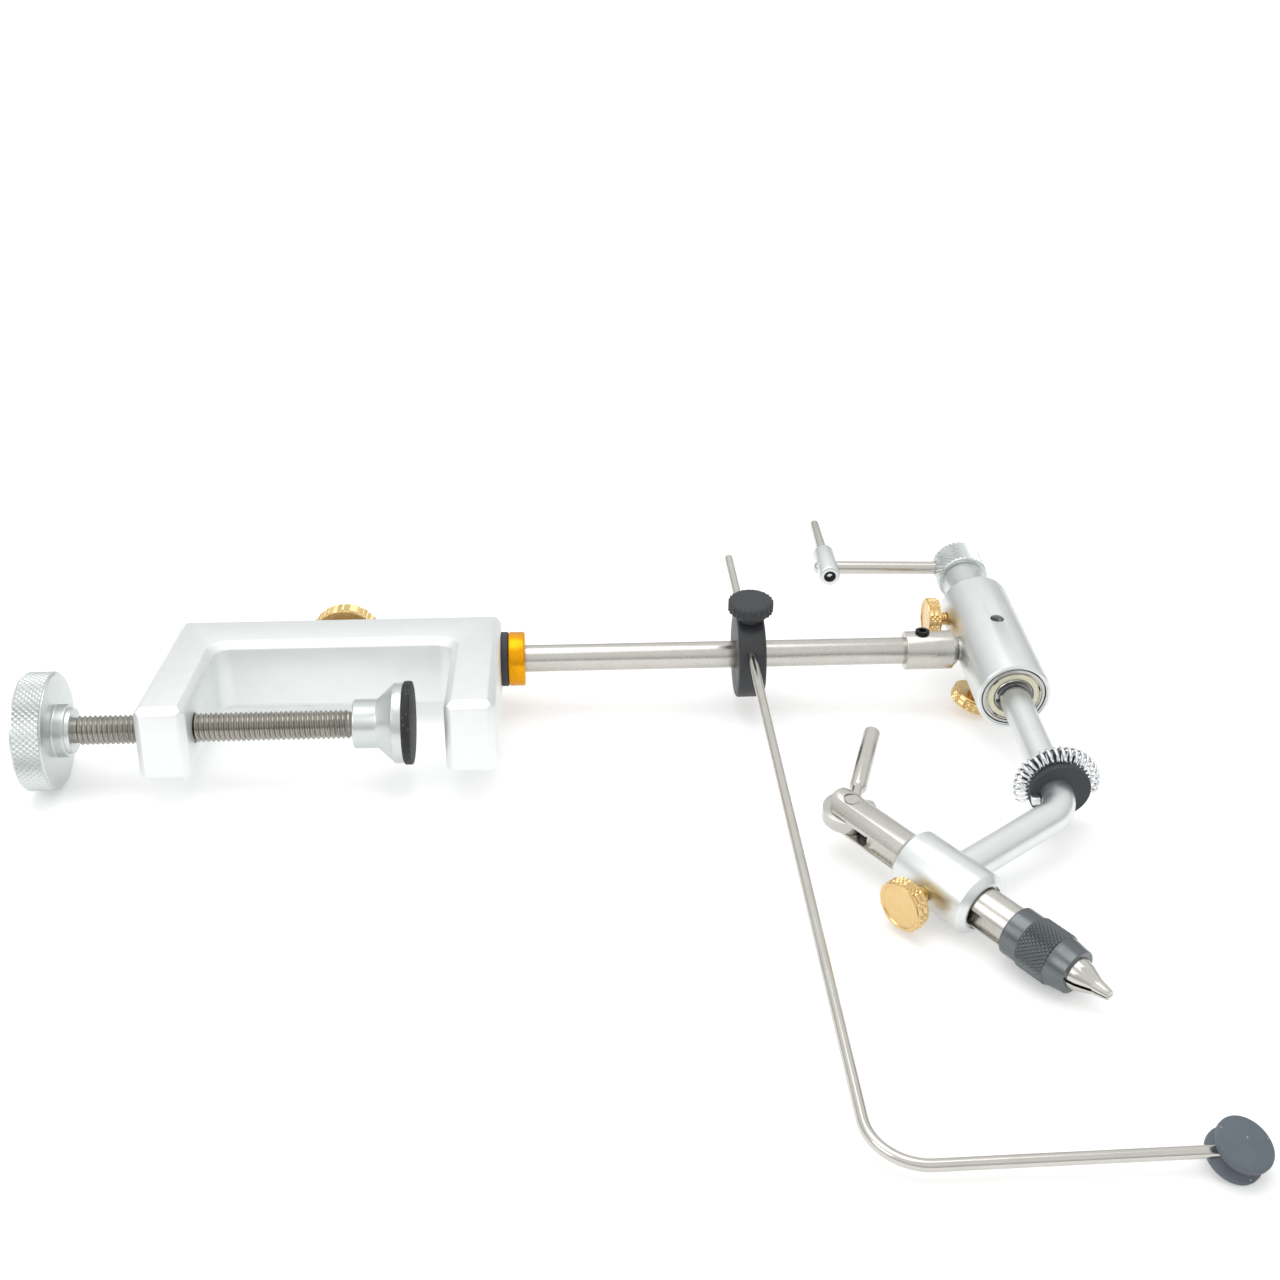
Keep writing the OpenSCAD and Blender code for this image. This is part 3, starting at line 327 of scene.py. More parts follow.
def coiled(obj: Object, pitch: float, turns: int, steps: int, sides: int) -> Object:
    """Winds an outline of so many sides into a helix about Z, and fills its ends."""
    apply_modifier(obj, "SCREW", axis="Z", angle=math.tau, screw_offset=pitch, iterations=turns,
                   steps=steps, render_steps=steps, use_normal_calculate=True)
    begin_edit()
    bpy.ops.mesh.fill_holes(sides=sides)
    end_edit()
    return obj


def ridge(name: str, root: float, crest: float, pitch: float, start: float, turns: int,
          steps: int = 32) -> Object:
    """Winds a screw thread's ridge round a core.

    Args:
        name: the piece's name.
        root: radius at the foot of the thread.
        crest: radius at its top.
        pitch: rise in one turn.
        start: height of its lower end.
        turns: number of turns.
        steps: faces in one turn.

    Returns:
        The closed ridge, in its own millimetres.
    """
    obj = circle(name, 3, 1)
    inside = root - 0.1
    for vert, co in zip(obj.data.vertices, ((inside, 0), (crest, pitch / 2), (inside, pitch))):
        vert.co = (co[0], 0, start + co[1])
    return coiled(obj, pitch, turns, steps, 3)


def bent(name: str, r: float, first: float, second: float, angle: float, bend_r: float,
         segments: int = 32) -> Object:
    """Bends a round bar: it starts at the origin along Z, then turns towards -X.

    Args:
        name: the piece's name.
        r: the bar's radius.
        first: length from the origin to the corner.
        second: length from the corner to the end.
        angle: how far it turns, in degrees.
        bend_r: radius of the bend.
        segments: faces round the bar.

    Returns:
        The closed bar, in its own millimetres.
    """
    a = math.radians(angle)
    reach = bend_r * math.tan(a / 2)
    obj = circle(name, segments, r, "NGON")
    begin_edit()
    bpy.ops.mesh.extrude_region_move(TRANSFORM_OT_translate={"value": (0, 0, first - reach)})
    bpy.ops.mesh.spin(steps=18, angle=a, center=(-bend_r, 0, first - reach), axis=(0, 1, 0))
    leg = Vector((-math.sin(a), 0, math.cos(a)))
    bpy.ops.mesh.extrude_region_move(TRANSFORM_OT_translate={"value": leg * (second - reach)})
    end_edit(merge=True)
    return obj


def softened(name: str, node: str, width: float) -> Object:
    """Copies a solid's mesh, makes its flats whole again and breaks its edges.

    Args:
        name: the new piece's name.
        node: the solid it comes from.
        width: width of the broken edge, in millimetres.

    Returns:
        The copy, in the row frame and in metres.
    """
    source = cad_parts[node]
    obj = source.copy()
    obj.data = source.data.copy()
    for key in [k for k in obj.keys() if k.startswith("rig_")]:
        del obj[key]
    obj.parent = None
    obj.name = obj.data.name = name
    bpy.context.scene.collection.objects.link(obj)
    activate(obj)
    obj.data.transform(Matrix.Scale(1 / MM, 4))
    begin_edit()
    bpy.ops.mesh.remove_doubles(threshold=NEAR)
    bpy.ops.mesh.dissolve_limited(angle_limit=math.radians(FLAT))
    bpy.ops.object.mode_set(mode="OBJECT")
    apply_modifier(obj, "BEVEL", width=width, segments=2, limit_method="ANGLE",
                   angle_limit=math.radians(SHARP), use_clamp_overlap=True)
    obj.data.transform(Matrix.Scale(MM, 4))
    return smooth(obj, SHARP)


# Finishes


def colour(code: str) -> tuple[float, float, float, float]:
    """A hex sRGB colour as linear red, green, blue and alpha."""
    parts = [int(code[i:i + 2], 16) / 255 for i in (1, 3, 5)]
    linear = [p / 12.92 if p <= 0.04045 else ((p + 0.055) / 1.055) ** 2.4 for p in parts]
    return (*linear, 1.0)


def add(tree: Tree, kind: str, inputs: dict | None = None, **settings: object) -> Node:
    """Adds a node with its settings, values and links.

    Args:
        tree: the node tree.
        kind: the node's type, without the ShaderNode that every one starts with.
        inputs: socket name or number to a value, or to the socket that feeds it.
        settings: the node's own properties.

    Returns:
        The node.
    """
    node = tree.nodes.new("ShaderNode" + kind)
    for key, value in settings.items():
        setattr(node, key, value)
    for key, value in (inputs or {}).items():
        if isinstance(value, Socket):
            tree.links.new(value, node.inputs[key])
        else:
            node.inputs[key].default_value = value
    return node


def cleared(owner: bpy.types.Material | bpy.types.World) -> Tree:
    """Gives a material or a world an empty node tree."""
    owner.use_nodes = True
    owner.node_tree.nodes.clear()
    return owner.node_tree


@dataclass(frozen=True)
class Finish:
    """What every finish shares: a name, a colour and how it shines."""

    name: str
    base: str
    second: str
    metallic: float = 0.0
    roughness: float = 0.5
    blend_mm: float = 6.0

    def material(self, place: Matrix) -> bpy.types.Material:
        """Makes the finish for a piece.

        Args:
            place: the piece's own frame, whose Z is the axis that it was turned on.

        Returns:
            The material.
        """
        made = bpy.data.materials.new(self.name)
        tree = cleared(made)
        coords = add(tree, "TexCoord").outputs["Object"]
        location, rotation, _ = place.decompose()
        local = add(tree, "Mapping", {
            "Vector": coords, "Location": location * MM, "Rotation": rotation.to_euler()
        }, vector_type="TEXTURE").outputs["Vector"]
        mm = add(tree, "VectorMath", {0: local, "Scale": 1 / MM}, operation="SCALE").outputs[0]
        shader = add(tree, "BsdfPrincipled", {
            "Metallic": self.metallic, "Roughness": self.roughness, "Base Color": colour(self.base)
        })
        for name, source in self.dress(tree, mm).items():
            tree.links.new(source, shader.inputs[name])
        add(tree, "OutputMaterial", {"Surface": shader.outputs[0]})
        return made

    def dress(self, tree: Tree, mm: Socket) -> dict[str, Socket]:
        """Lets the colour drift between the finish's two colours.

        Args:
            tree: the material's nodes.
            mm: where a point is, in the piece's own frame, in millimetres.

        Returns:
            The shader's socket names with what feeds each.
        """
        noise = add(tree, "TexNoise", {"Vector": mm, "Scale": 1 / self.blend_mm, "Detail": 3.0})
        mix = add(tree, "Mix", {
            0: noise.outputs["Fac"], 6: colour(self.base), 7: colour(self.second)
        }, data_type="RGBA")
        return {"Base Color": mix.outputs[2]}


@dataclass(frozen=True)
class Blasted(Finish):
    """Glass-bead blasted aluminium: pale, matte, with a fine even grain."""

    # The beads' own marks are finer; they are drawn as coarse as they need to show.
    grain_mm: float = 0.35
    depth_mm: float = 0.012

    def dress(self, tree: Tree, mm: Socket) -> dict[str, Socket]:
        """Adds the bead marks to the clouds."""
        marks = {"Vector": mm, "Scale": 1 / self.grain_mm, "Detail": 2.0}
        grain = add(tree, "TexNoise", marks).outputs["Fac"]
        bump = add(tree, "Bump", {"Height": grain, "Distance": self.depth_mm * MM, "Strength": 1.0})
        rough = add(tree, "MapRange", {
            "Value": grain, "To Min": self.roughness - 0.06, "To Max": self.roughness + 0.06
        })
        return {**super().dress(tree, mm), "Normal": bump.outputs[0], "Roughness": rough.outputs[0]}


@dataclass(frozen=True)
class TurnedMetal(Finish):
    """Metal from a lathe: fine rings round its axis and across its faces."""

    # A lathe's real feed is near 0.1 mm; its rings are drawn coarser so that they show.
    ring_mm: float = 0.25
    depth_mm: float = 0.006

    def dress(self, tree: Tree, mm: Socket) -> dict[str, Socket]:
        """Adds the tool's rings to the clouds."""
        flat = add(tree, "VectorMath", {0: mm, 1: (1.0, 1.0, 0.0)}, operation="MULTIPLY")
        across = add(tree, "VectorMath", {0: flat.outputs[0]}, operation="LENGTH")
        axial = add(tree, "SeparateXYZ", {0: mm})
        path = add(tree, "Math", {0: across.outputs["Value"], 1: axial.outputs["Z"]})
        rings = add(tree, "TexNoise", {
            "W": path.outputs[0], "Scale": 1 / self.ring_mm, "Detail": 3.0
        }, noise_dimensions="1D")
        wear = add(tree, "TexNoise", {"Vector": mm, "Scale": 0.4, "Detail": 2.0})
        both = add(tree, "Math", {0: rings.outputs["Fac"], 1: wear.outputs["Fac"]}, operation="MULTIPLY")
        bump = add(tree, "Bump", {
            "Height": rings.outputs["Fac"], "Distance": self.depth_mm * MM, "Strength": 1.0
        })
        rough = add(tree, "MapRange", {
            "Value": both.outputs[0], "To Min": self.roughness * 0.7, "To Max": self.roughness * 1.7
        })
        return {**super().dress(tree, mm), "Normal": bump.outputs[0], "Roughness": rough.outputs[0]}


@dataclass(frozen=True)
class Speckled(Finish):
    """Rubber or plastic with a grain, and small pale specks of painted glint in its colour."""

    # A mould's own grain is finer; it is drawn as coarse as it needs to show.
    grain_mm: float = 0.5
    depth_mm: float = 0.05
    # The specks are painted glints: pale dots laid into the base colour.
    glint_mm: float = 0.7
    glint_colour: str = "#8C8F92"
    share: float = 0.2
    glint_r: float = 0.32

    def dress(self, tree: Tree, mm: Socket) -> dict[str, Socket]:
        """Adds grain, and pale specks of painted glint, to the clouds."""
        body = super().dress(tree, mm)["Base Color"]
        # Pale specks painted into the base colour stand in for glints of light.
        cells = add(tree, "TexVoronoi", {"Vector": mm, "Scale": 1 / self.glint_mm})
        pick = add(tree, "SeparateColor", {0: cells.outputs["Color"]})
        rare_glint = add(tree, "Math", {0: pick.outputs[0], 1: 1 - self.share}, operation="GREATER_THAN")
        glint_spot = add(tree, "Math", {
            0: cells.outputs["Distance"], 1: self.glint_r
        }, operation="LESS_THAN")
        both = add(tree, "Math", {0: rare_glint.outputs[0], 1: glint_spot.outputs[0]}, operation="MULTIPLY")
        mix = add(tree, "Mix", {0: both.outputs[0], 6: body, 7: colour(self.glint_colour)}, data_type="RGBA")
        grain = add(tree, "TexNoise", {"Vector": mm, "Scale": 1 / self.grain_mm, "Detail": 4.0})
        bump = add(tree, "Bump", {
            "Height": grain.outputs["Fac"], "Distance": self.depth_mm * MM, "Strength": 1.0
        })
        return {"Base Color": mix.outputs[2], "Normal": bump.outputs[0]}


# Pale and even, as glass beads leave aluminium: soft wide highlights.
BLASTED_ALUMINIUM = Blasted("bead_blasted_aluminium", "#F3F6F5", "#ECEFEE", 1.0, 0.5)
# Fine lathe rings under clear anodising: a soft sheen that follows the round.
TURNED_ALUMINIUM = TurnedMetal("clear_anodised_turned_aluminium", "#E6E9E8", "#DDE1E0", 1.0, 0.38)
# Cut and anodised: brighter crests that sparkle against dark valleys.
KNURLED_ALUMINIUM = TurnedMetal("bright_knurled_aluminium", "#D6DAD9", "#CBD0CF", 1.0, 0.34)
# Warmer and darker than the aluminium, with satin streaks.
STAINLESS = TurnedMetal("ground_stainless_steel", "#CFCDC7", "#C2BFB8", 1.0, 0.27)
# Drawn bar: smooth, with sharp long highlights.
POLISHED = TurnedMetal("drawn_stainless_steel", "#D1CFC9", "#C4C1BA", 1.0, 0.2, depth_mm=0.004)
# Rolled thread: bright crests, and oil left dark in the roots.
SCREW_STEEL = TurnedMetal("rolled_screw_steel", "#B4B1AA", "#94918A", 1.0, 0.24, ring_mm=0.8)
# Heat-treated and left plain: dark grey with a dull glint.
HARD_STEEL = TurnedMetal("hardened_steel", "#77767A", "#68676A", 1.0, 0.3)
# Ground and bright: a clean ring of light.
BEARING_STEEL = TurnedMetal("ground_bearing_steel", "#CBC9C5", "#BDBBB7", 1.0, 0.22)
# Plated wire: each turn carries its own bright line.
SPRING_CHROME = Finish("bright_chromed_wire", "#F1F3F4", "#E4E6E8", 1.0, 0.24)
# Pale yellow brass, turned smooth on its faces and sharp on its knurl.
BRASS = TurnedMetal("turned_brass", "#E9CE9A", "#DDBA7E", 1.0, 0.28)
# Oily and porous: brown, with hardly a highlight.
BRONZE = TurnedMetal("sintered_bronze", "#A97F4E", "#8F683B", 1.0, 0.45)
# Thin grey oxide that still shines like steel.
BLACK_OXIDE = TurnedMetal("black_oxide_on_steel", "#797E80", "#64696B", 1.0, 0.3, depth_mm=0.004)
# Thick oxide: nearly black, with a thin bright edge.
BLACK_SCREW = TurnedMetal("black_oxide_screw", "#2B2C2F", "#1E1F21", 0.9, 0.35)
# Dyed anodising: amber with a metal glint.
ORANGE = TurnedMetal("amber_anodised_aluminium", "#F6AE06", "#E99B00", 0.8, 0.3)
# Thin pressed cover, yellowed by its grease: pale and satin.
SHIELD = TurnedMetal("cream_bearing_shield", "#F1EFD8", "#E6E3C4", 0.3, 0.4)
# A gap that no light reaches: flat and dark.
PAINTED_SLOT_SHADE = Finish("shadowed_seam", "#15161A", "#1C1D21", 0.0, 0.7)
# Bound rubber crumb: matt black with a few painted glints.
BLACK_RUBBER = Speckled(
    "black_rubber_painted_glints", "#17181A", "#222325", 0.0, 0.62, glint_mm=0.5, share=0.12
)
# Moulded rubber: matt grey with a fine grain.
PLAIN_RUBBER = Speckled("dark_grey_rubber", "#32353A", "#3C3F44", 0.0, 0.6, share=0.0)
# Blue-grey moulded rubber: soft light and a few pale specks of painted glint.
SLATE_RUBBER = Speckled(
    "slate_rubber", "#626B73", "#565F67", 0.0, 0.55, share=0.02, glint_colour="#A9B0B4"
)
# Moulded in an etched tool: black with a satin grain.
BLACK_PLASTIC = Speckled(
    "textured_black_acetal", "#2A2C2F", "#34363A", 0.0, 0.48, grain_mm=0.6, share=0.0
)


@dataclass
class Part:
    """Hands finished pieces over to the frame."""

    body: str

    def give(self, obj: Object, nodes: Iterable[str], slot: str, finish: Finish, place: Matrix) -> None:
        """Dresses a new piece and lets it ride on its body.

        Args:
            obj: the piece, in the row frame and in metres.
            nodes: the solids that it stands for.
            slot: the record's material slot; not used.
            finish: its finish.
            place: the frame that its finish is laid out in.
        """
        obj.data.materials.clear()
        obj.data.materials.append(finish.material(place))
        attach(obj, self.body)
        for node in nodes:
            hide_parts(node)
        LOG.info("made %s on %s", obj.name, self.body)

    def land(self, obj: Object, node: str, slot: str, finish: Finish, place: Matrix,
             angle: float = 32) -> None:
        """Sets a piece down at its place, smooths it to an angle and hands it over."""
        self.give(smooth(set_down(obj, place), angle), [node], slot, finish, place)

    def keep(self, node: str, finish: Finish, place: Matrix) -> None:
        """Gives a solid that stays a better finish."""
        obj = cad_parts[node]
        made = finish.material(place)
        if not obj.material_slots:
            obj.data.materials.append(made)
        for slot in obj.material_slots:
            slot.material = made
        LOG.info("kept %s", node)

    def turn_out(self, node: str, made: str, outline: Sequence[Station], place: Matrix, slot: str,
                 finish: Finish, segments: int = 64) -> None:
        """Turns a plain round piece, sets it down and hands it over.

        Args:
            node: the solid that it stands for.
            made: how it was made, the end of its name.
            outline: its (radius, height) rings.
            place: its frame, whose Z is its axis.
            slot: the record's material slot.
            finish: its finish.
            segments: faces round the axis.
        """
        self.land(turned(f"{node}_{made}", outline, segments), node, slot, finish, place)

    def refine(self, node: str, made: str, width: float, slot: str, finish: Finish, place: Matrix) -> None:
        """Breaks a solid's edges by a width and hands it over."""
        self.give(softened(f"{node}_{made}", node, width), [node], slot, finish, place)


def rounded_bar(d: float, low: float, high: float, edge: float) -> list[Station]:
    """The outline of a bar with rounded ends, from pole to pole."""
    r = d / 2
    return [(0, low), *lower(r, low, edge), *upper(r, high, edge), (0, high)]


def rounded_ring(d: float, bore: float, low: float, high: float, edge: float) -> list[Station]:
    """The closed outline of a ring with rounded outer edges."""
    r = d / 2
    return [
        (bore / 2, low), *lower(r, low, edge),
        *upper(r, high, edge), (bore / 2, high), (bore / 2, low),
    ]


@dataclass
class ThumbScrew(Part):
    """A brass screw with a knurled, dished head."""

    node: str
    place: Matrix
    shank_d: float = 5.0
    shank_l: float = 10.0
    head_d: float = 15.9
    head_t: float = 4.6
    pitch: float = 0.8
    thread_from: float = 0.0
    thread_deep: float = 0.35
    # The real knurl is finer, near 1 mm; it is drawn coarser so that it shows.
    knurl_mm: float = 1.5
    knurl_deep: float = 0.42

    def build(self) -> None:
        """Makes the head, its knurl and the threaded shank as one piece."""
        edge = 0.6
        r, low, high = self.head_d / 2, self.shank_l, self.shank_l + self.head_t
        rings = 2 * round((self.head_t - 2 * edge) / self.knurl_mm)
        segments = 2 * round(math.pi * self.head_d / self.knurl_mm)
        rim, dish = self.head_d * 0.08, self.head_t * 0.08
        deep = self.knurl_deep
        head = turned(f"{self.node}_turned", [
            (0, low), (r - edge, low), (r - edge / 4 - deep, low + edge * 0.7),
            *band(r - deep, low + edge, high - edge, rings),
            (r - edge / 4 - deep, high - edge * 0.7), (r - edge, high), (r - rim, high),
            (r - rim - dish, high - dish), (0, high - dish),
        ], segments)
        raise_band(head, low + edge, high - edge, rings, segments, deep, diamond)
        root = self.shank_d / 2 - self.thread_deep
        core = turned(f"{self.node}_shank", [
            (0, 0), (root - 0.25, 0), (root, 0.5), (root, low + 0.2), (0, low + 0.2),
        ], 32)
        turns = max(1, int((low - self.thread_from) / self.pitch))
        wound = ridge(f"{self.node}_thread", root, self.shank_d / 2, self.pitch,
                      low - turns * self.pitch, turns, 24)
        self.land(joined([head, core, wound]), self.node, "brass", BRASS, self.place, 12)


@dataclass
class TableClamp(Part):
    """The C frame with the screw, knob, foot and pad that grip a table top."""

    screw_drop: float = 50.8
    screw_back: float = 183.0
    screw_l: float = 88.4
    screw_d: float = 9.525
    thread_deep: float = 0.62
    pitch: float = 1.5875
    knob_d: float = 38.1
    knob_t: float = 9.5
    hub_l: float = 5.1
    foot_back: float = 94.5
    foot_l: float = 16.1
    pad_d: float = 27.0
    pad_t: float = 2.6

    def build(self) -> None:
        """Makes the clamp's pieces."""
        self.frame_block()
        self.knob()
        self.screw()
        self.foot_and_pad()

    def frame_block(self) -> None:
        """Dresses the C frame, its edges slightly broken."""
        self.body = "clamp"
        self.refine("clamp_frame", "blasted", 0.25, "machined_aluminium", BLASTED_ALUMINIUM,
                    Place.CLAMP.matrix)

    def knob(self) -> None:
        """Turns the knurled knob."""
        self.body = "clamp_spindle"
        place = Place.CLAMP.matrix @ move(-self.screw_back, -self.screw_drop, 0) @ ALONG_X
        low, high = -self.hub_l - self.knob_t, -self.hub_l
        r, edge, deep = self.knob_d / 2, 0.7, 0.42
        rings, segments = 8, 140
        obj = turned("clamp_knob_knurled", [
            (0, low + 0.8), (11.5, low + 0.8), (12.3, low), (r - edge, low),
            (r - deep - 0.15, low + edge * 0.8),
            *band(r - deep, low + edge, high - edge, rings),
            (r - deep - 0.15, high - edge * 0.8), *arc(r - edge - 0.3, high - 0.3, 0.3, 30, 90),
            (8.9, high), *arc(8.9, high + 0.4, 0.4, -90, -180),
            *arc(8.1, -1.8, 0.4, 0, 90), (7.5, -1.4), *arc(7.3 - 0.3, -0.3, 0.3, 0, 90), (0, 0),
        ], segments)
        raise_band(obj, low + edge, high - edge, rings, segments, deep, diamond)
        self.land(obj, "clamp_knob", "machined_aluminium", KNURLED_ALUMINIUM, place, 12)

    def screw(self) -> None:
        """Winds the long thread and turns the pivot behind it."""
        place = Place.CLAMP.matrix @ move(-self.screw_back, -self.screw_drop, 0) @ ALONG_X
        end, root = self.screw_l, self.screw_d / 2 - self.thread_deep
        turns = int(end / self.pitch) - 1
        core = turned("clamp_screw_core", [
            (0, -9.0), (3.6, -9.0), (3.6, -0.2), (root, 0), (root, end - 1.2), (3.5, end - 0.4),
            (3.5, end + 4.0), (2.3, end + 4.05), (2.3, end + 5.0), (3.5, end + 5.05), (3.5, end + 11.0),
            (0, end + 11.3),
        ], 48)
        wound = ridge("clamp_screw_ridge", root, self.screw_d / 2, self.pitch, 0.2, turns, 48)
        obj = smooth(set_down(joined([core, wound]), place), 30)
        obj.name = "clamp_screw_threaded"
        self.give(obj, ["clamp_screw"], "stainless_steel", SCREW_STEEL, place)
        self.keep("pivot_ring", HARD_STEEL, place)

    def foot_and_pad(self) -> None:
        """Turns the swivel foot, and moulds its rubber pad."""
        self.body = "clamp_shoe"
        place = Place.CLAMP.matrix @ move(-self.foot_back, -self.screw_drop, 0) @ ALONG_X
        boss, rim, cone = 7.95, 12.95, 12.8
        self.turn_out("clamp_foot", "turned", [
            (3.6, 0), *lower(boss, 0, 0.6), (boss, 7.3), (boss + 0.15, 7.7), (cone - 0.5, 12.4),
            (cone - 0.1, 12.8), *arc(rim - 0.3, 13.1, 0.3, -90, 0), *upper(rim, self.foot_l, 0.3),
            (0, self.foot_l),
        ], place, "machined_aluminium", KNURLED_ALUMINIUM, 96)
        pad = place @ move(0, 0, self.foot_l)
        disc = rounded_bar(self.pad_d, 0, self.pad_t, 0.5)
        self.turn_out("clamp_pad", "moulded", disc, pad, "black_rubber", BLACK_RUBBER, 96)


@dataclass
class PostAndCollar(Part):
    """The post, its rubber washer, the orange stop collar and the coupling to the head."""

    clamp_x: float = -48.7
    post_from: float = -145.0
    post_to: float = 106.1
    post_d: float = 9.525
    washer_t: float = 2.4
    collar_d: float = 19.05
    collar_w: float = 5.9
    coupling_x: float = 94.1
    coupling_l: float = 19.0
    coupling_d: float = 13.7

    def build(self) -> None:
        """Makes the pieces along the post."""
        bar = rounded_bar(self.post_d, self.post_from, self.post_to, 0.5)
        self.turn_out("post", "ground", bar, ALONG_X, "stainless_steel", STAINLESS, 72)
        washer = move(self.clamp_x, 0, 0) @ ALONG_X
        self.body = "stem_slider"
        ring = rounded_ring(self.collar_d + 0.1, self.post_d + 0.1, 0, self.washer_t, 0.35)
        self.turn_out("post_washer", "moulded", ring, washer, "black_rubber", PLAIN_RUBBER, 72)
        self.body = "stem"
        collar = washer @ move(0, 0, self.washer_t)
        ring = rounded_ring(self.collar_d, self.post_d, 0.05, self.collar_w, 0.7)
        self.turn_out("stop_collar", "turned", ring, collar, "orange_anodised", ORANGE, 72)
        self.keep("collar_set_screw", BLACK_SCREW, collar)
        place = move(self.coupling_x, 0, 0) @ ALONG_X
        r, bore, length, edge = self.coupling_d / 2, self.post_d / 2, self.coupling_l, 2.4
        self.turn_out("coupling", "turned", [
            (0, 12), (bore, 12), (bore, 0), *lower(r, 0, 0.3),
            *arc(r - 0.4, length - edge - 0.2, 0.4, 0, 45),
            *arc(r - edge - 0.2, length - 0.3, 0.3, 45, 90), (4.0, length), (4.0, length + 5.2),
            (0, length + 5.2),
        ], place, "stainless_steel", STAINLESS, 72)
        self.refine("coupling_set_screw", "turned", 0.12, "black_oxide_steel", BLACK_SCREW,
                    Matrix.Identity(4))


@dataclass
class ThreadCradle(Part):
    """The black block on the post with its knob, the bent rod and the pulley at its end."""

    rod_d: float = 3.175
    rod_reach: float = 228.6
    rod_back: float = 55.0
    rod_leg: float = 87.9
    rod_bend: float = 14.4
    leg_fall: float = 0.6
    pulley_d: float = 14.6
    pulley_t: float = 7.2
    knob_d: float = 15.7
    knob_from: float = 18.0
    knob_t: float = 4.4

    def build(self) -> None:
        """Makes the cradle's pieces."""
        self.body = "cradle"
        self.refine("cradle_block", "moulded", 0.3, "black_plastic", BLACK_PLASTIC, Place.CRADLE.matrix)
        self.keep("cradle_plug", BRASS, Place.CRADLE.matrix)
        self.knob()
        self.rod()
        self.pulley()

    def knob(self) -> None:
        """Turns the knob with its fluted rim."""
        self.body = "cradle_lock"
        place = Place.CRADLE.matrix
        low, high, r, deep = self.knob_from, self.knob_from + self.knob_t, self.knob_d / 2, 0.35
        rings, segments = 4, 96
        obj = turned("cradle_knob_fluted", [
            (0, 8.8), (2.4, 8.8), (2.4, 15.0), (4.5, 15.0), (4.5, low), (r - 0.8, low),
            *band(r - deep, low + 0.5, high - 0.5, rings), (r - deep - 0.2, high - 0.3),
            (r - 0.9, high), (0, high),
        ], segments)
        raise_band(obj, low + 0.5, high - 0.5, rings, segments, deep, lambda ring, place: place % 4 < 2)
        self.land(obj, "cradle_knob", "black_plastic", BLACK_PLASTIC, place, 28)

    def rod(self) -> None:
        """Bends the long rod."""
        self.body = "cradle_arm"
        rise = Place.ROD.matrix @ move(0, self.rod_back, 0) @ turn(90, "X") @ turn(180, "Z")
        lean = turn(-self.leg_fall, "Z")
        obj = bent("cradle_rod_bent", self.rod_d / 2, self.rod_back + self.rod_reach,
                   self.rod_leg - 2.2, 90,
                   self.rod_bend)
        smooth(set_down(obj, rise @ lean))
        self.give(obj, ["cradle_rod"], "stainless_steel", POLISHED, rise)

    def pulley(self) -> None:
        """Turns the grooved pulley."""
        fall = math.radians(self.leg_fall)
        place = (Place.ROD.matrix
                 @ move(self.rod_leg * math.cos(fall), -self.rod_reach, -self.rod_leg * math.sin(fall))
                 @ turn(13, "Y") @ turn(13, "X") @ move(0, 0, -self.pulley_t / 2))
        lip, core, step = self.pulley_d / 2, 4.5, 0.7
        self.turn_out("thread_pulley", "moulded", [
            (0, 0), *lower(lip, 0, 0.5), *arc(lip - 0.2, 1.4, 0.2, 0, 60), (core + 0.3, 2.9), (core, 3.2),
            (core, 3.5), (lip - step - 0.1, 4.3), (lip - step, 4.4), (lip - step, 5.5), (lip - 0.1, 5.6),
            (lip, 5.7), *upper(lip, self.pulley_t, 0.5), (0, self.pulley_t),
        ], place, "slate_rubber", SLATE_RUBBER, 72)


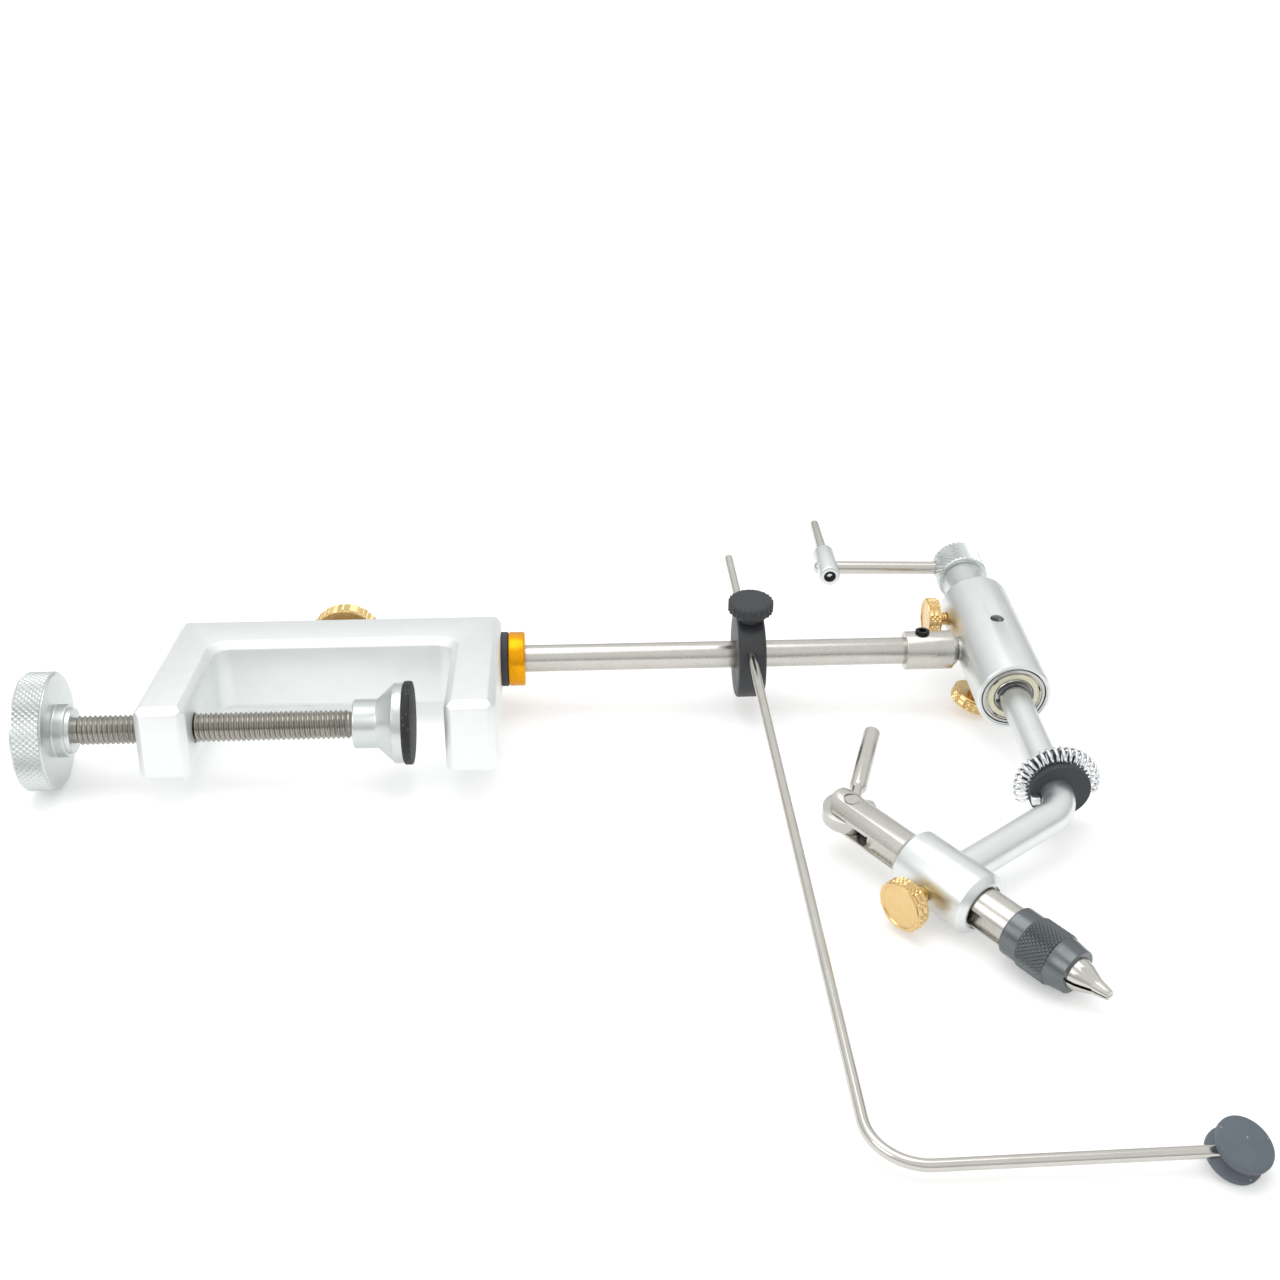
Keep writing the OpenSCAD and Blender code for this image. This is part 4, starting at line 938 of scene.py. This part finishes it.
@dataclass
class RotaryHousing(Part):
    """The tube that carries the spindle, with its bushing and the fixed ring of the bearing."""

    bearing_w: float = 7.14
    outer_r: float = 11.1125
    outer_bore: float = 8.83

    def build(self) -> None:
        """Makes the housing's pieces."""
        place = Place.ROTARY.matrix
        self.refine("housing", "turned", 0.15, "machined_aluminium", TURNED_ALUMINIUM, place)
        self.keep("rear_bushing", BRONZE, place)
        race, top = place @ move(0, 0, BEARING_SEAT), self.bearing_w
        self.turn_out("bearing_outer_race", "ground", [
            (self.outer_bore, 0.4), *lower(self.outer_r, 0, 0.4),
            (self.outer_r, top - 2.4), (self.outer_r - 0.4, top - 2.3),
            *arc(self.outer_r - 0.7, top - 0.3, 0.3, 0, 90),
            (9.75, top), (9.6, top - 0.45), (9.2, top - 0.5), (9.15, top), (9.0, top),
            (self.outer_bore, top - 0.3),
            (self.outer_bore, 0.4),
        ], race, "hardened_steel", BEARING_STEEL, 72)
        self.keep("bearing_balls", BEARING_STEEL, place)
        self.shield(race)

    def shield(self, race: Matrix) -> None:
        """Presses the bearing's front shield, with its fine grooves."""
        top = self.bearing_w
        front = turned("bearing_shields_pressed", [
            (6.78, top - 0.8), (6.78, top - 0.4), *arc(6.98, top - 0.4, 0.2, 180, 90), (7.9, top - 0.2),
            (8.0, top - 0.34), (8.12, top - 0.34), (8.22, top - 0.2), (8.7, top - 0.26), (8.8, top - 0.35),
            (8.8, top - 0.8), (6.78, top - 0.8),
        ], 72)
        back = turned("bearing_shield_back",
                      [(7.15, 0.4), (8.8, 0.4), (8.8, 0.8), (7.15, 0.8), (7.15, 0.4)], 72)
        self.land(joined([front, back]), "bearing_shields", "shield_tan", SHIELD, race, 40)
        self.slots(race)
        self.thread()

    def slots(self, race: Matrix) -> None:
        """Lays four black bars with broken edges at the rim of the shield, as painted shade in its four
        slots.
        """
        bars = []
        for angle in (-38, 20, 140, 232):
            bpy.ops.mesh.primitive_cube_add(size=1, location=(0, 0, 0))
            bar = activate(bpy.context.active_object)
            bar.data.transform(Matrix.Diagonal((0.36, 2.2, 0.3, 1)))
            apply_modifier(bar, "BEVEL", width=0.1, segments=2, limit_method="ANGLE")
            bar.data.transform(turn(angle, "Z") @ move(9.0, 0, self.bearing_w - 0.12))
            bars.append(bar)
        # The bars carry painted shade: the darkness inside the shield's slots.
        obj = set_down(joined(bars), race)
        obj.name = "bearing_slot_shade_bars"
        self.give(smooth(obj), [], "black_oxide_steel", PAINTED_SLOT_SHADE, race)

    def thread(self) -> None:
        """Winds the thread inside the hole for an accessory."""
        hole = Place.ROTARY.matrix @ radial(90) @ move(0, 0, 7.4)
        obj = ridge("accessory_thread_tapped", 2.48, 2.1, 0.8, 0, 4, 32)
        self.give(smooth(set_down(obj, hole), 40), [], "machined_aluminium", HARD_STEEL, hole)


@dataclass
class Rotor(Part):
    """All that turns with the spindle: arm, hub, crank, spring wheel and barrel."""

    spindle_d: float = 9.525
    arm_d: float = 10.2
    arm_from: float = 32.15
    tail: float = 61.0
    bend_r: float = 14.0
    hub_d: float = 19.05
    hub_from: float = -62.0
    hub_l: float = 13.2
    crank_r: float = 51.0
    crank_angle: float = 1.5
    crank_s: float = -58.0
    block_d: float = 8.2
    wheel_x: float = 1.4
    wheel_s: float = 79.2

    def build(self) -> None:
        """Makes the rotor's pieces."""
        self.arm()
        self.bearing_side()
        self.hub()
        self.crank()
        self.wheel()
        self.spring()
        self.barrel()

    def arm(self) -> None:
        """Bends the arm and turns the spindle behind it."""
        place = Place.ROTARY.matrix
        bar = bent("spindle_arm_bent", self.arm_d / 2, ARM_REACH - self.arm_from, ARM_LEG - 7.0, ARM_BEND,
                   self.bend_r, 48)
        bar.data.transform(move(0, 0, self.arm_from))
        r = self.spindle_d / 2
        spindle = turned("spindle", [
            (0, -self.tail), *lower(r, -self.tail, 0.5), (r, self.arm_from + 0.3),
            (0, self.arm_from + 0.3),
        ], 48)
        self.land(joined([bar, spindle]), "spindle_arm", "machined_aluminium", TURNED_ALUMINIUM, place)

    def bearing_side(self) -> None:
        """Turns the bearing's inner ring and the clip that holds it."""
        race = Place.ROTARY.matrix @ move(0, 0, BEARING_SEAT)
        self.turn_out("bearing_inner_race", "ground", [
            (4.77, 0.0), (6.6, 0.0), (6.6, 6.8), (6.4, 7.1), (4.9, 7.14), (4.77, 7.0), (4.77, 0.0),
        ], race, "hardened_steel", BEARING_STEEL, 64)
        self.refine("spindle_clip", "stamped", 0.08, "hardened_steel", HARD_STEEL, race)

    def hub(self) -> None:
        """Turns the rear hub with its slanting knurl, drawn a little coarse so that it shows."""
        place = Place.ROTARY.matrix @ move(0, 0, self.hub_from)
        r, deep, low, high, rings, segments = self.hub_d / 2, 0.42, 0.9, self.hub_l - 0.9, 20, 144
        obj = turned("rear_hub_knurled", [
            (4.8, 0), (r - 0.9, 0), *arc(r - 0.7, 0.5, 0.5, -90, 0), *band(r - deep, low, high, rings),
            *arc(r - 0.7, self.hub_l - 0.5, 0.5, 0, 90), (r - 0.9, self.hub_l), (4.8, self.hub_l), (4.8, 0),
        ], segments)
        raise_band(obj, low, high, rings, segments, deep, slanted)
        self.land(obj, "rear_hub", "machined_aluminium", KNURLED_ALUMINIUM, place, 12)
        self.keep("hub_set_screw", BLACK_SCREW, place)

    def crank(self) -> None:
        """Turns the crank's arm, block and handle."""
        end = Place.ROTARY.matrix @ move(0, 0, self.crank_s) @ turn(-self.crank_angle, "Z")
        tip = self.crank_r + self.block_d / 2 + 1.2
        arm = end @ radial(0)
        self.turn_out("crank_arm", "turned", [
            (0, 4.8), (2.5, 4.8), (2.5, tip - 1.5), *arc(0, tip - 2.5, 2.5, 25, 80, 6), (0, tip),
        ], arm, "stainless_steel", POLISHED, 40)
        block = end @ move(-self.crank_r, 0, 0)
        r, low, high = self.block_d / 2, -11.1, 7.1
        self.turn_out("crank_block", "turned", [
            (0, low), *lower(r, low, 0.6), *upper(r, high, 0.8), (2.3, high),
            (2.3, high - 1.2), (0, high - 1.2),
        ], block, "machined_aluminium", TURNED_ALUMINIUM, 56)
        self.refine("crank_set_screw", "turned", 0.1, "black_oxide_steel", BLACK_SCREW, block)
        handle = block @ move(0, 0, low - 24.5)
        self.turn_out("crank_handle", "turned", [
            (0, 0), *lower(1.8, 0, 0.5), (2.1, 24.6), (0, 24.6),
        ], handle, "stainless_steel", POLISHED, 40)

    def wheel(self) -> None:
        """Moulds the wheel that the spring rides on."""
        place = Place.ROTARY.matrix @ move(self.wheel_x, 0, self.wheel_s)
        r, half, core, groove = 9.8, 4.8, 10.9, 2.98
        self.turn_out("spring_wheel", "moulded", [
            (0, -half), *lower(r, -half, 0.4), *arc(core, 0, groove, -112, -248, 12),
            *upper(r, half, 0.4), (0, half),
        ], place, "black_rubber", PLAIN_RUBBER, 64)
        self.refine("spring_clip", "cut", 0.25, "chrome_spring", SPRING_CHROME, place)

    def spring(self) -> None:
        """Winds the chrome spring round the wheel, its wire drawn a little bold so that it shows."""
        place = Place.ROTARY.matrix @ move(self.wheel_x, 0, self.wheel_s)
        curls, ring_r, curl_r, wire_r, start, sweep = 23, 10.9, 2.5, 0.42, 206.0, -222.0
        obj = circle("material_spring_wound", 10, wire_r)
        obj.data.transform(move(curl_r, 0, 0) @ turn(90, "X"))
        length = math.radians(abs(sweep)) * ring_r
        coiled(obj, length / curls, curls, 20, 12)
        sense = math.copysign(1, sweep)
        for vert in obj.data.vertices:
            angle = math.radians(start) + sense * vert.co.z / ring_r
            reach = ring_r + vert.co.x
            vert.co = (reach * math.cos(angle), reach * math.sin(angle), vert.co.y)
        begin_edit()
        end_edit()
        self.land(obj, "material_spring", "chrome_spring", SPRING_CHROME, place, 60)

    def barrel(self) -> None:
        """Dresses the barrel that holds the jaw tube."""
        place = Place.JAW.matrix @ ALONG_X
        self.refine("jaw_barrel", "turned", 0.12, "machined_aluminium", TURNED_ALUMINIUM, place)


@dataclass
class JawTube(Part):
    """The tube with its cam lever, plunger, jaws and nose collar."""

    pin_reach: float = 38.6
    lever_angle: float = 126.5
    lever_d: float = 5.5
    lever_l: float = 45.8
    collar_from: float = 26.7
    collar_l: float = 21.5

    def build(self) -> None:
        """Makes the pieces in and on the tube."""
        axis = Place.JAW.matrix @ ALONG_X
        self.refine("jaw_tube", "ground", 0.12, "stainless_steel", STAINLESS, axis)
        self.keep("cam_pin", POLISHED, Place.JAW.matrix @ move(-self.pin_reach, 0, 0))
        self.cam()
        self.body = "plunger"
        self.keep("draw_bar", HARD_STEEL, axis)
        self.keep("return_spring", HARD_STEEL, axis)
        for side in ("upper", "lower"):
            self.body = f"{side}_jaw"
            self.refine(f"jaw_{side}", "ground", 0.1, "stainless_steel", POLISHED, axis)
        self.nose_collar(axis)

    def cam(self) -> None:
        """Dresses the cam and turns its lever."""
        self.body = "cam"
        pin = Place.JAW.matrix @ move(-self.pin_reach, 0, 0)
        self.refine("cam_disc", "ground", 0.25, "hardened_steel", BEARING_STEEL, pin)
        place = pin @ turn(self.lever_angle, "Z") @ ALONG_X
        r, end = self.lever_d / 2, self.lever_l
        rod = turned("cam_lever_turned", [
            (0, 13.2), (1.9, 13.2), (r - 0.2, 14.0), (r, 14.5), (r, end - 1.2),
            *arc(0, end - r * 1.2, r * 1.2, 40, 80, 5),
            (0, end),
        ], 48)
        neck = turned("cam_lever_neck", [(0, 6.3), (1.9, 6.3), (1.9, 13.5), (0, 13.5)], 32)
        self.land(joined([rod, neck]), "cam_lever", "stainless_steel", POLISHED, place)

    def nose_collar(self, axis: Matrix) -> None:
        """Turns the black collar: smooth flange, knurled band and long nose."""
        self.body = "nose_collar"
        start, end = self.collar_from, self.collar_from + self.collar_l
        low, high, rings, segments, deep = start + 6.2, start + 15.4, 12, 72, 0.4
        flange, bandr, bore = 7.45, 8.0, 6.4
        obj = turned("jaw_collar_knurled", [
            (bore, start), *lower(flange, start, 0.5), (flange, start + 5.6),
            (flange - 0.1, start + 5.8), (bandr - deep - 0.2, start + 5.9),
            *band(bandr - deep, low, high, rings), (bandr - deep - 0.1, start + 15.6),
            (bandr - 0.5, start + 15.8),
            (bandr - 0.6, start + 16.1), (6.7, end - 0.5), *arc(6.3, end - 0.4, 0.4, 0, 90), (4.9, end),
            (6.2, 36.3), (bore, 36.3), (bore, start),
        ], segments)
        raise_band(obj, low, high, rings, segments, deep, diamond)
        self.land(obj, "jaw_collar", "black_oxide_steel", BLACK_OXIDE, axis, 12)


# Studio


@dataclass
class Studio:
    """The white table, the lamps and the camera."""

    focal_px: float = 1613.16
    image_px: float = 1280.0
    pitch: float = 26.966
    yaw: float = 2.943
    roll: float = 0.137
    shift_y: float = 5.68
    distance: float = 569.97
    table_m: float = 12.0

    def build(self) -> None:
        """Sets the scene round the vise."""
        self.table()
        self.lamps()
        self.sky()
        self.camera()
        bpy.context.scene.view_settings.view_transform = "Standard"

    def table(self) -> None:
        """Lays the white table against the lowest points of the vise."""
        points = (v.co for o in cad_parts.values() for v in o.data.vertices)
        lowest = min(co.z + FLOOR_SLOPE * co.x for co in points)
        deselect()
        bpy.ops.mesh.primitive_plane_add(size=self.table_m, location=(0, 0, 0))
        obj = bpy.context.active_object
        obj.name = "table"
        obj.rotation_euler = (0, math.atan(FLOOR_SLOPE), 0)
        obj.location = (0, 0, lowest)
        made = bpy.data.materials.new("white_table")
        tree = cleared(made)
        plain = add(tree, "BsdfDiffuse", {"Color": (0.8, 0.8, 0.8, 1)})
        lift = add(tree, "Emission", {"Color": (1, 1, 1, 1), "Strength": 0.3})
        bright = add(tree, "AddShader", {0: plain.outputs[0], 1: lift.outputs[0]})
        rays = add(tree, "LightPath").outputs
        seen = rays["Is Camera Ray"]
        for ray in ("Is Glossy Ray", "Is Transmission Ray"):
            seen = add(tree, "Math", {0: seen, 1: rays[ray]}, operation="MAXIMUM").outputs[0]
        mix = add(tree, "MixShader", {0: seen, 1: plain.outputs[0], 2: bright.outputs[0]})
        add(tree, "OutputMaterial", {"Surface": mix.outputs[0]})
        obj.data.materials.append(made)

    def lamps(self) -> None:
        """Hangs one large soft lamp over the table and a weaker one at the left."""
        for name, place, power, size in (
            ("lamp_over", (-0.15, 0.1, 1.5), 6.5, 1.2),
            ("lamp_left", (-1.2, -0.7, 0.9), 3.5, 0.8),
        ):
            light = bpy.data.lights.new(name, "AREA")
            light.energy, light.size = power, size
            obj = bpy.data.objects.new(name, light)
            obj.location = place
            aim = Vector((0, -0.06, 0)) - Vector(place)
            obj.rotation_euler = aim.to_track_quat("-Z", "Y").to_euler()
            bpy.context.scene.collection.objects.link(obj)

    def sky(self) -> None:
        """Gives the room a white ceiling and greyer walls for the metal to mirror."""
        world = bpy.data.worlds.new("room")
        bpy.context.scene.world = world
        tree = cleared(world)
        way = add(tree, "TexCoord").outputs["Generated"]
        up = add(tree, "SeparateXYZ", {0: way}).outputs["Z"]
        ramp = add(tree, "ValToRGB", {0: up})
        stops = ramp.color_ramp.elements
        stops[0].position, stops[0].color = 0.0, (0.3, 0.3, 0.3, 1)
        stops[1].position, stops[1].color = 1.0, (0.9, 0.91, 0.91, 1)
        for position, level in ((0.1, 0.34), (0.16, 0.72), (0.4, 0.8), (0.55, 1.0)):
            stop = stops.new(position)
            stop.color = (level, level, level, 1)
        glow = add(tree, "Background", {"Color": ramp.outputs[0], "Strength": 1.0})
        white = add(tree, "Background", {"Color": (1, 1, 1, 1), "Strength": 1.0})
        path = add(tree, "LightPath")
        mix = add(tree, "MixShader", {
            0: path.outputs["Is Camera Ray"], 1: glow.outputs[0], 2: white.outputs[0]
        })
        add(tree, "OutputWorld", {"Surface": mix.outputs[0]})

    def camera(self) -> None:
        """Stands the camera where the photograph was taken from."""
        look = (turn(self.roll, "Z") @ turn(90 + self.pitch, "X") @ turn(self.yaw, "Z")).to_3x3()
        origin = -(look.transposed() @ Vector((0, self.shift_y, self.distance)))
        axes = Matrix((look[0], -look[1], -look[2])).transposed().to_4x4()
        data = bpy.data.cameras.new("camera")
        data.sensor_fit = "HORIZONTAL"
        data.sensor_width = 36.0
        data.lens = self.focal_px * data.sensor_width / self.image_px
        data.clip_start, data.clip_end = 0.01, 40.0
        obj = bpy.data.objects.new("camera", data)
        obj.matrix_world = Matrix.Translation(origin * MM) @ axes
        bpy.context.scene.collection.objects.link(obj)
        bpy.context.scene.camera = obj


def main() -> None:
    """Builds and dresses every sub-assembly, then the studio."""
    logging.basicConfig(level=logging.INFO, format="%(message)s")
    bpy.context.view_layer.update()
    rotary, jaw = Place.ROTARY.matrix, Place.JAW.matrix
    TableClamp("clamp").build()
    ThumbScrew("stem_lock", "stem_lock_screw",
               Place.CLAMP.matrix @ move(-105.5, LOCK_TIP, 0) @ turn(-90, "X"),
               6.35, 12.74, 25.4, 7.5, pitch=1.27, thread_from=2.0, knurl_mm=1.15).build()
    PostAndCollar("stem").build()
    ThreadCradle("cradle").build()
    RotaryHousing("stem").build()
    ThumbScrew("side_lock", "side_lock_screw",
               rotary @ move(0, 0, -20.8) @ radial(0) @ move(0, 0, LOCK_TIP),
               5.0, 10.94, thread_from=3.0).build()
    ThumbScrew("bottom_lock", "bottom_lock_screw",
               rotary @ move(0, 0, 5) @ radial(-70) @ move(0, 0, LOCK_TIP),
               5.0, 11.54, thread_from=3.0).build()
    Rotor("rotor").build()
    ThumbScrew("barrel_lock", "barrel_lock_screw", jaw @ turn(90, "X") @ move(0, 0, 4.85),
               5.0, 9.65, thread_from=3.0).build()
    JawTube("tube").build()
    Studio().build()


if __name__ == "__main__":
    main()
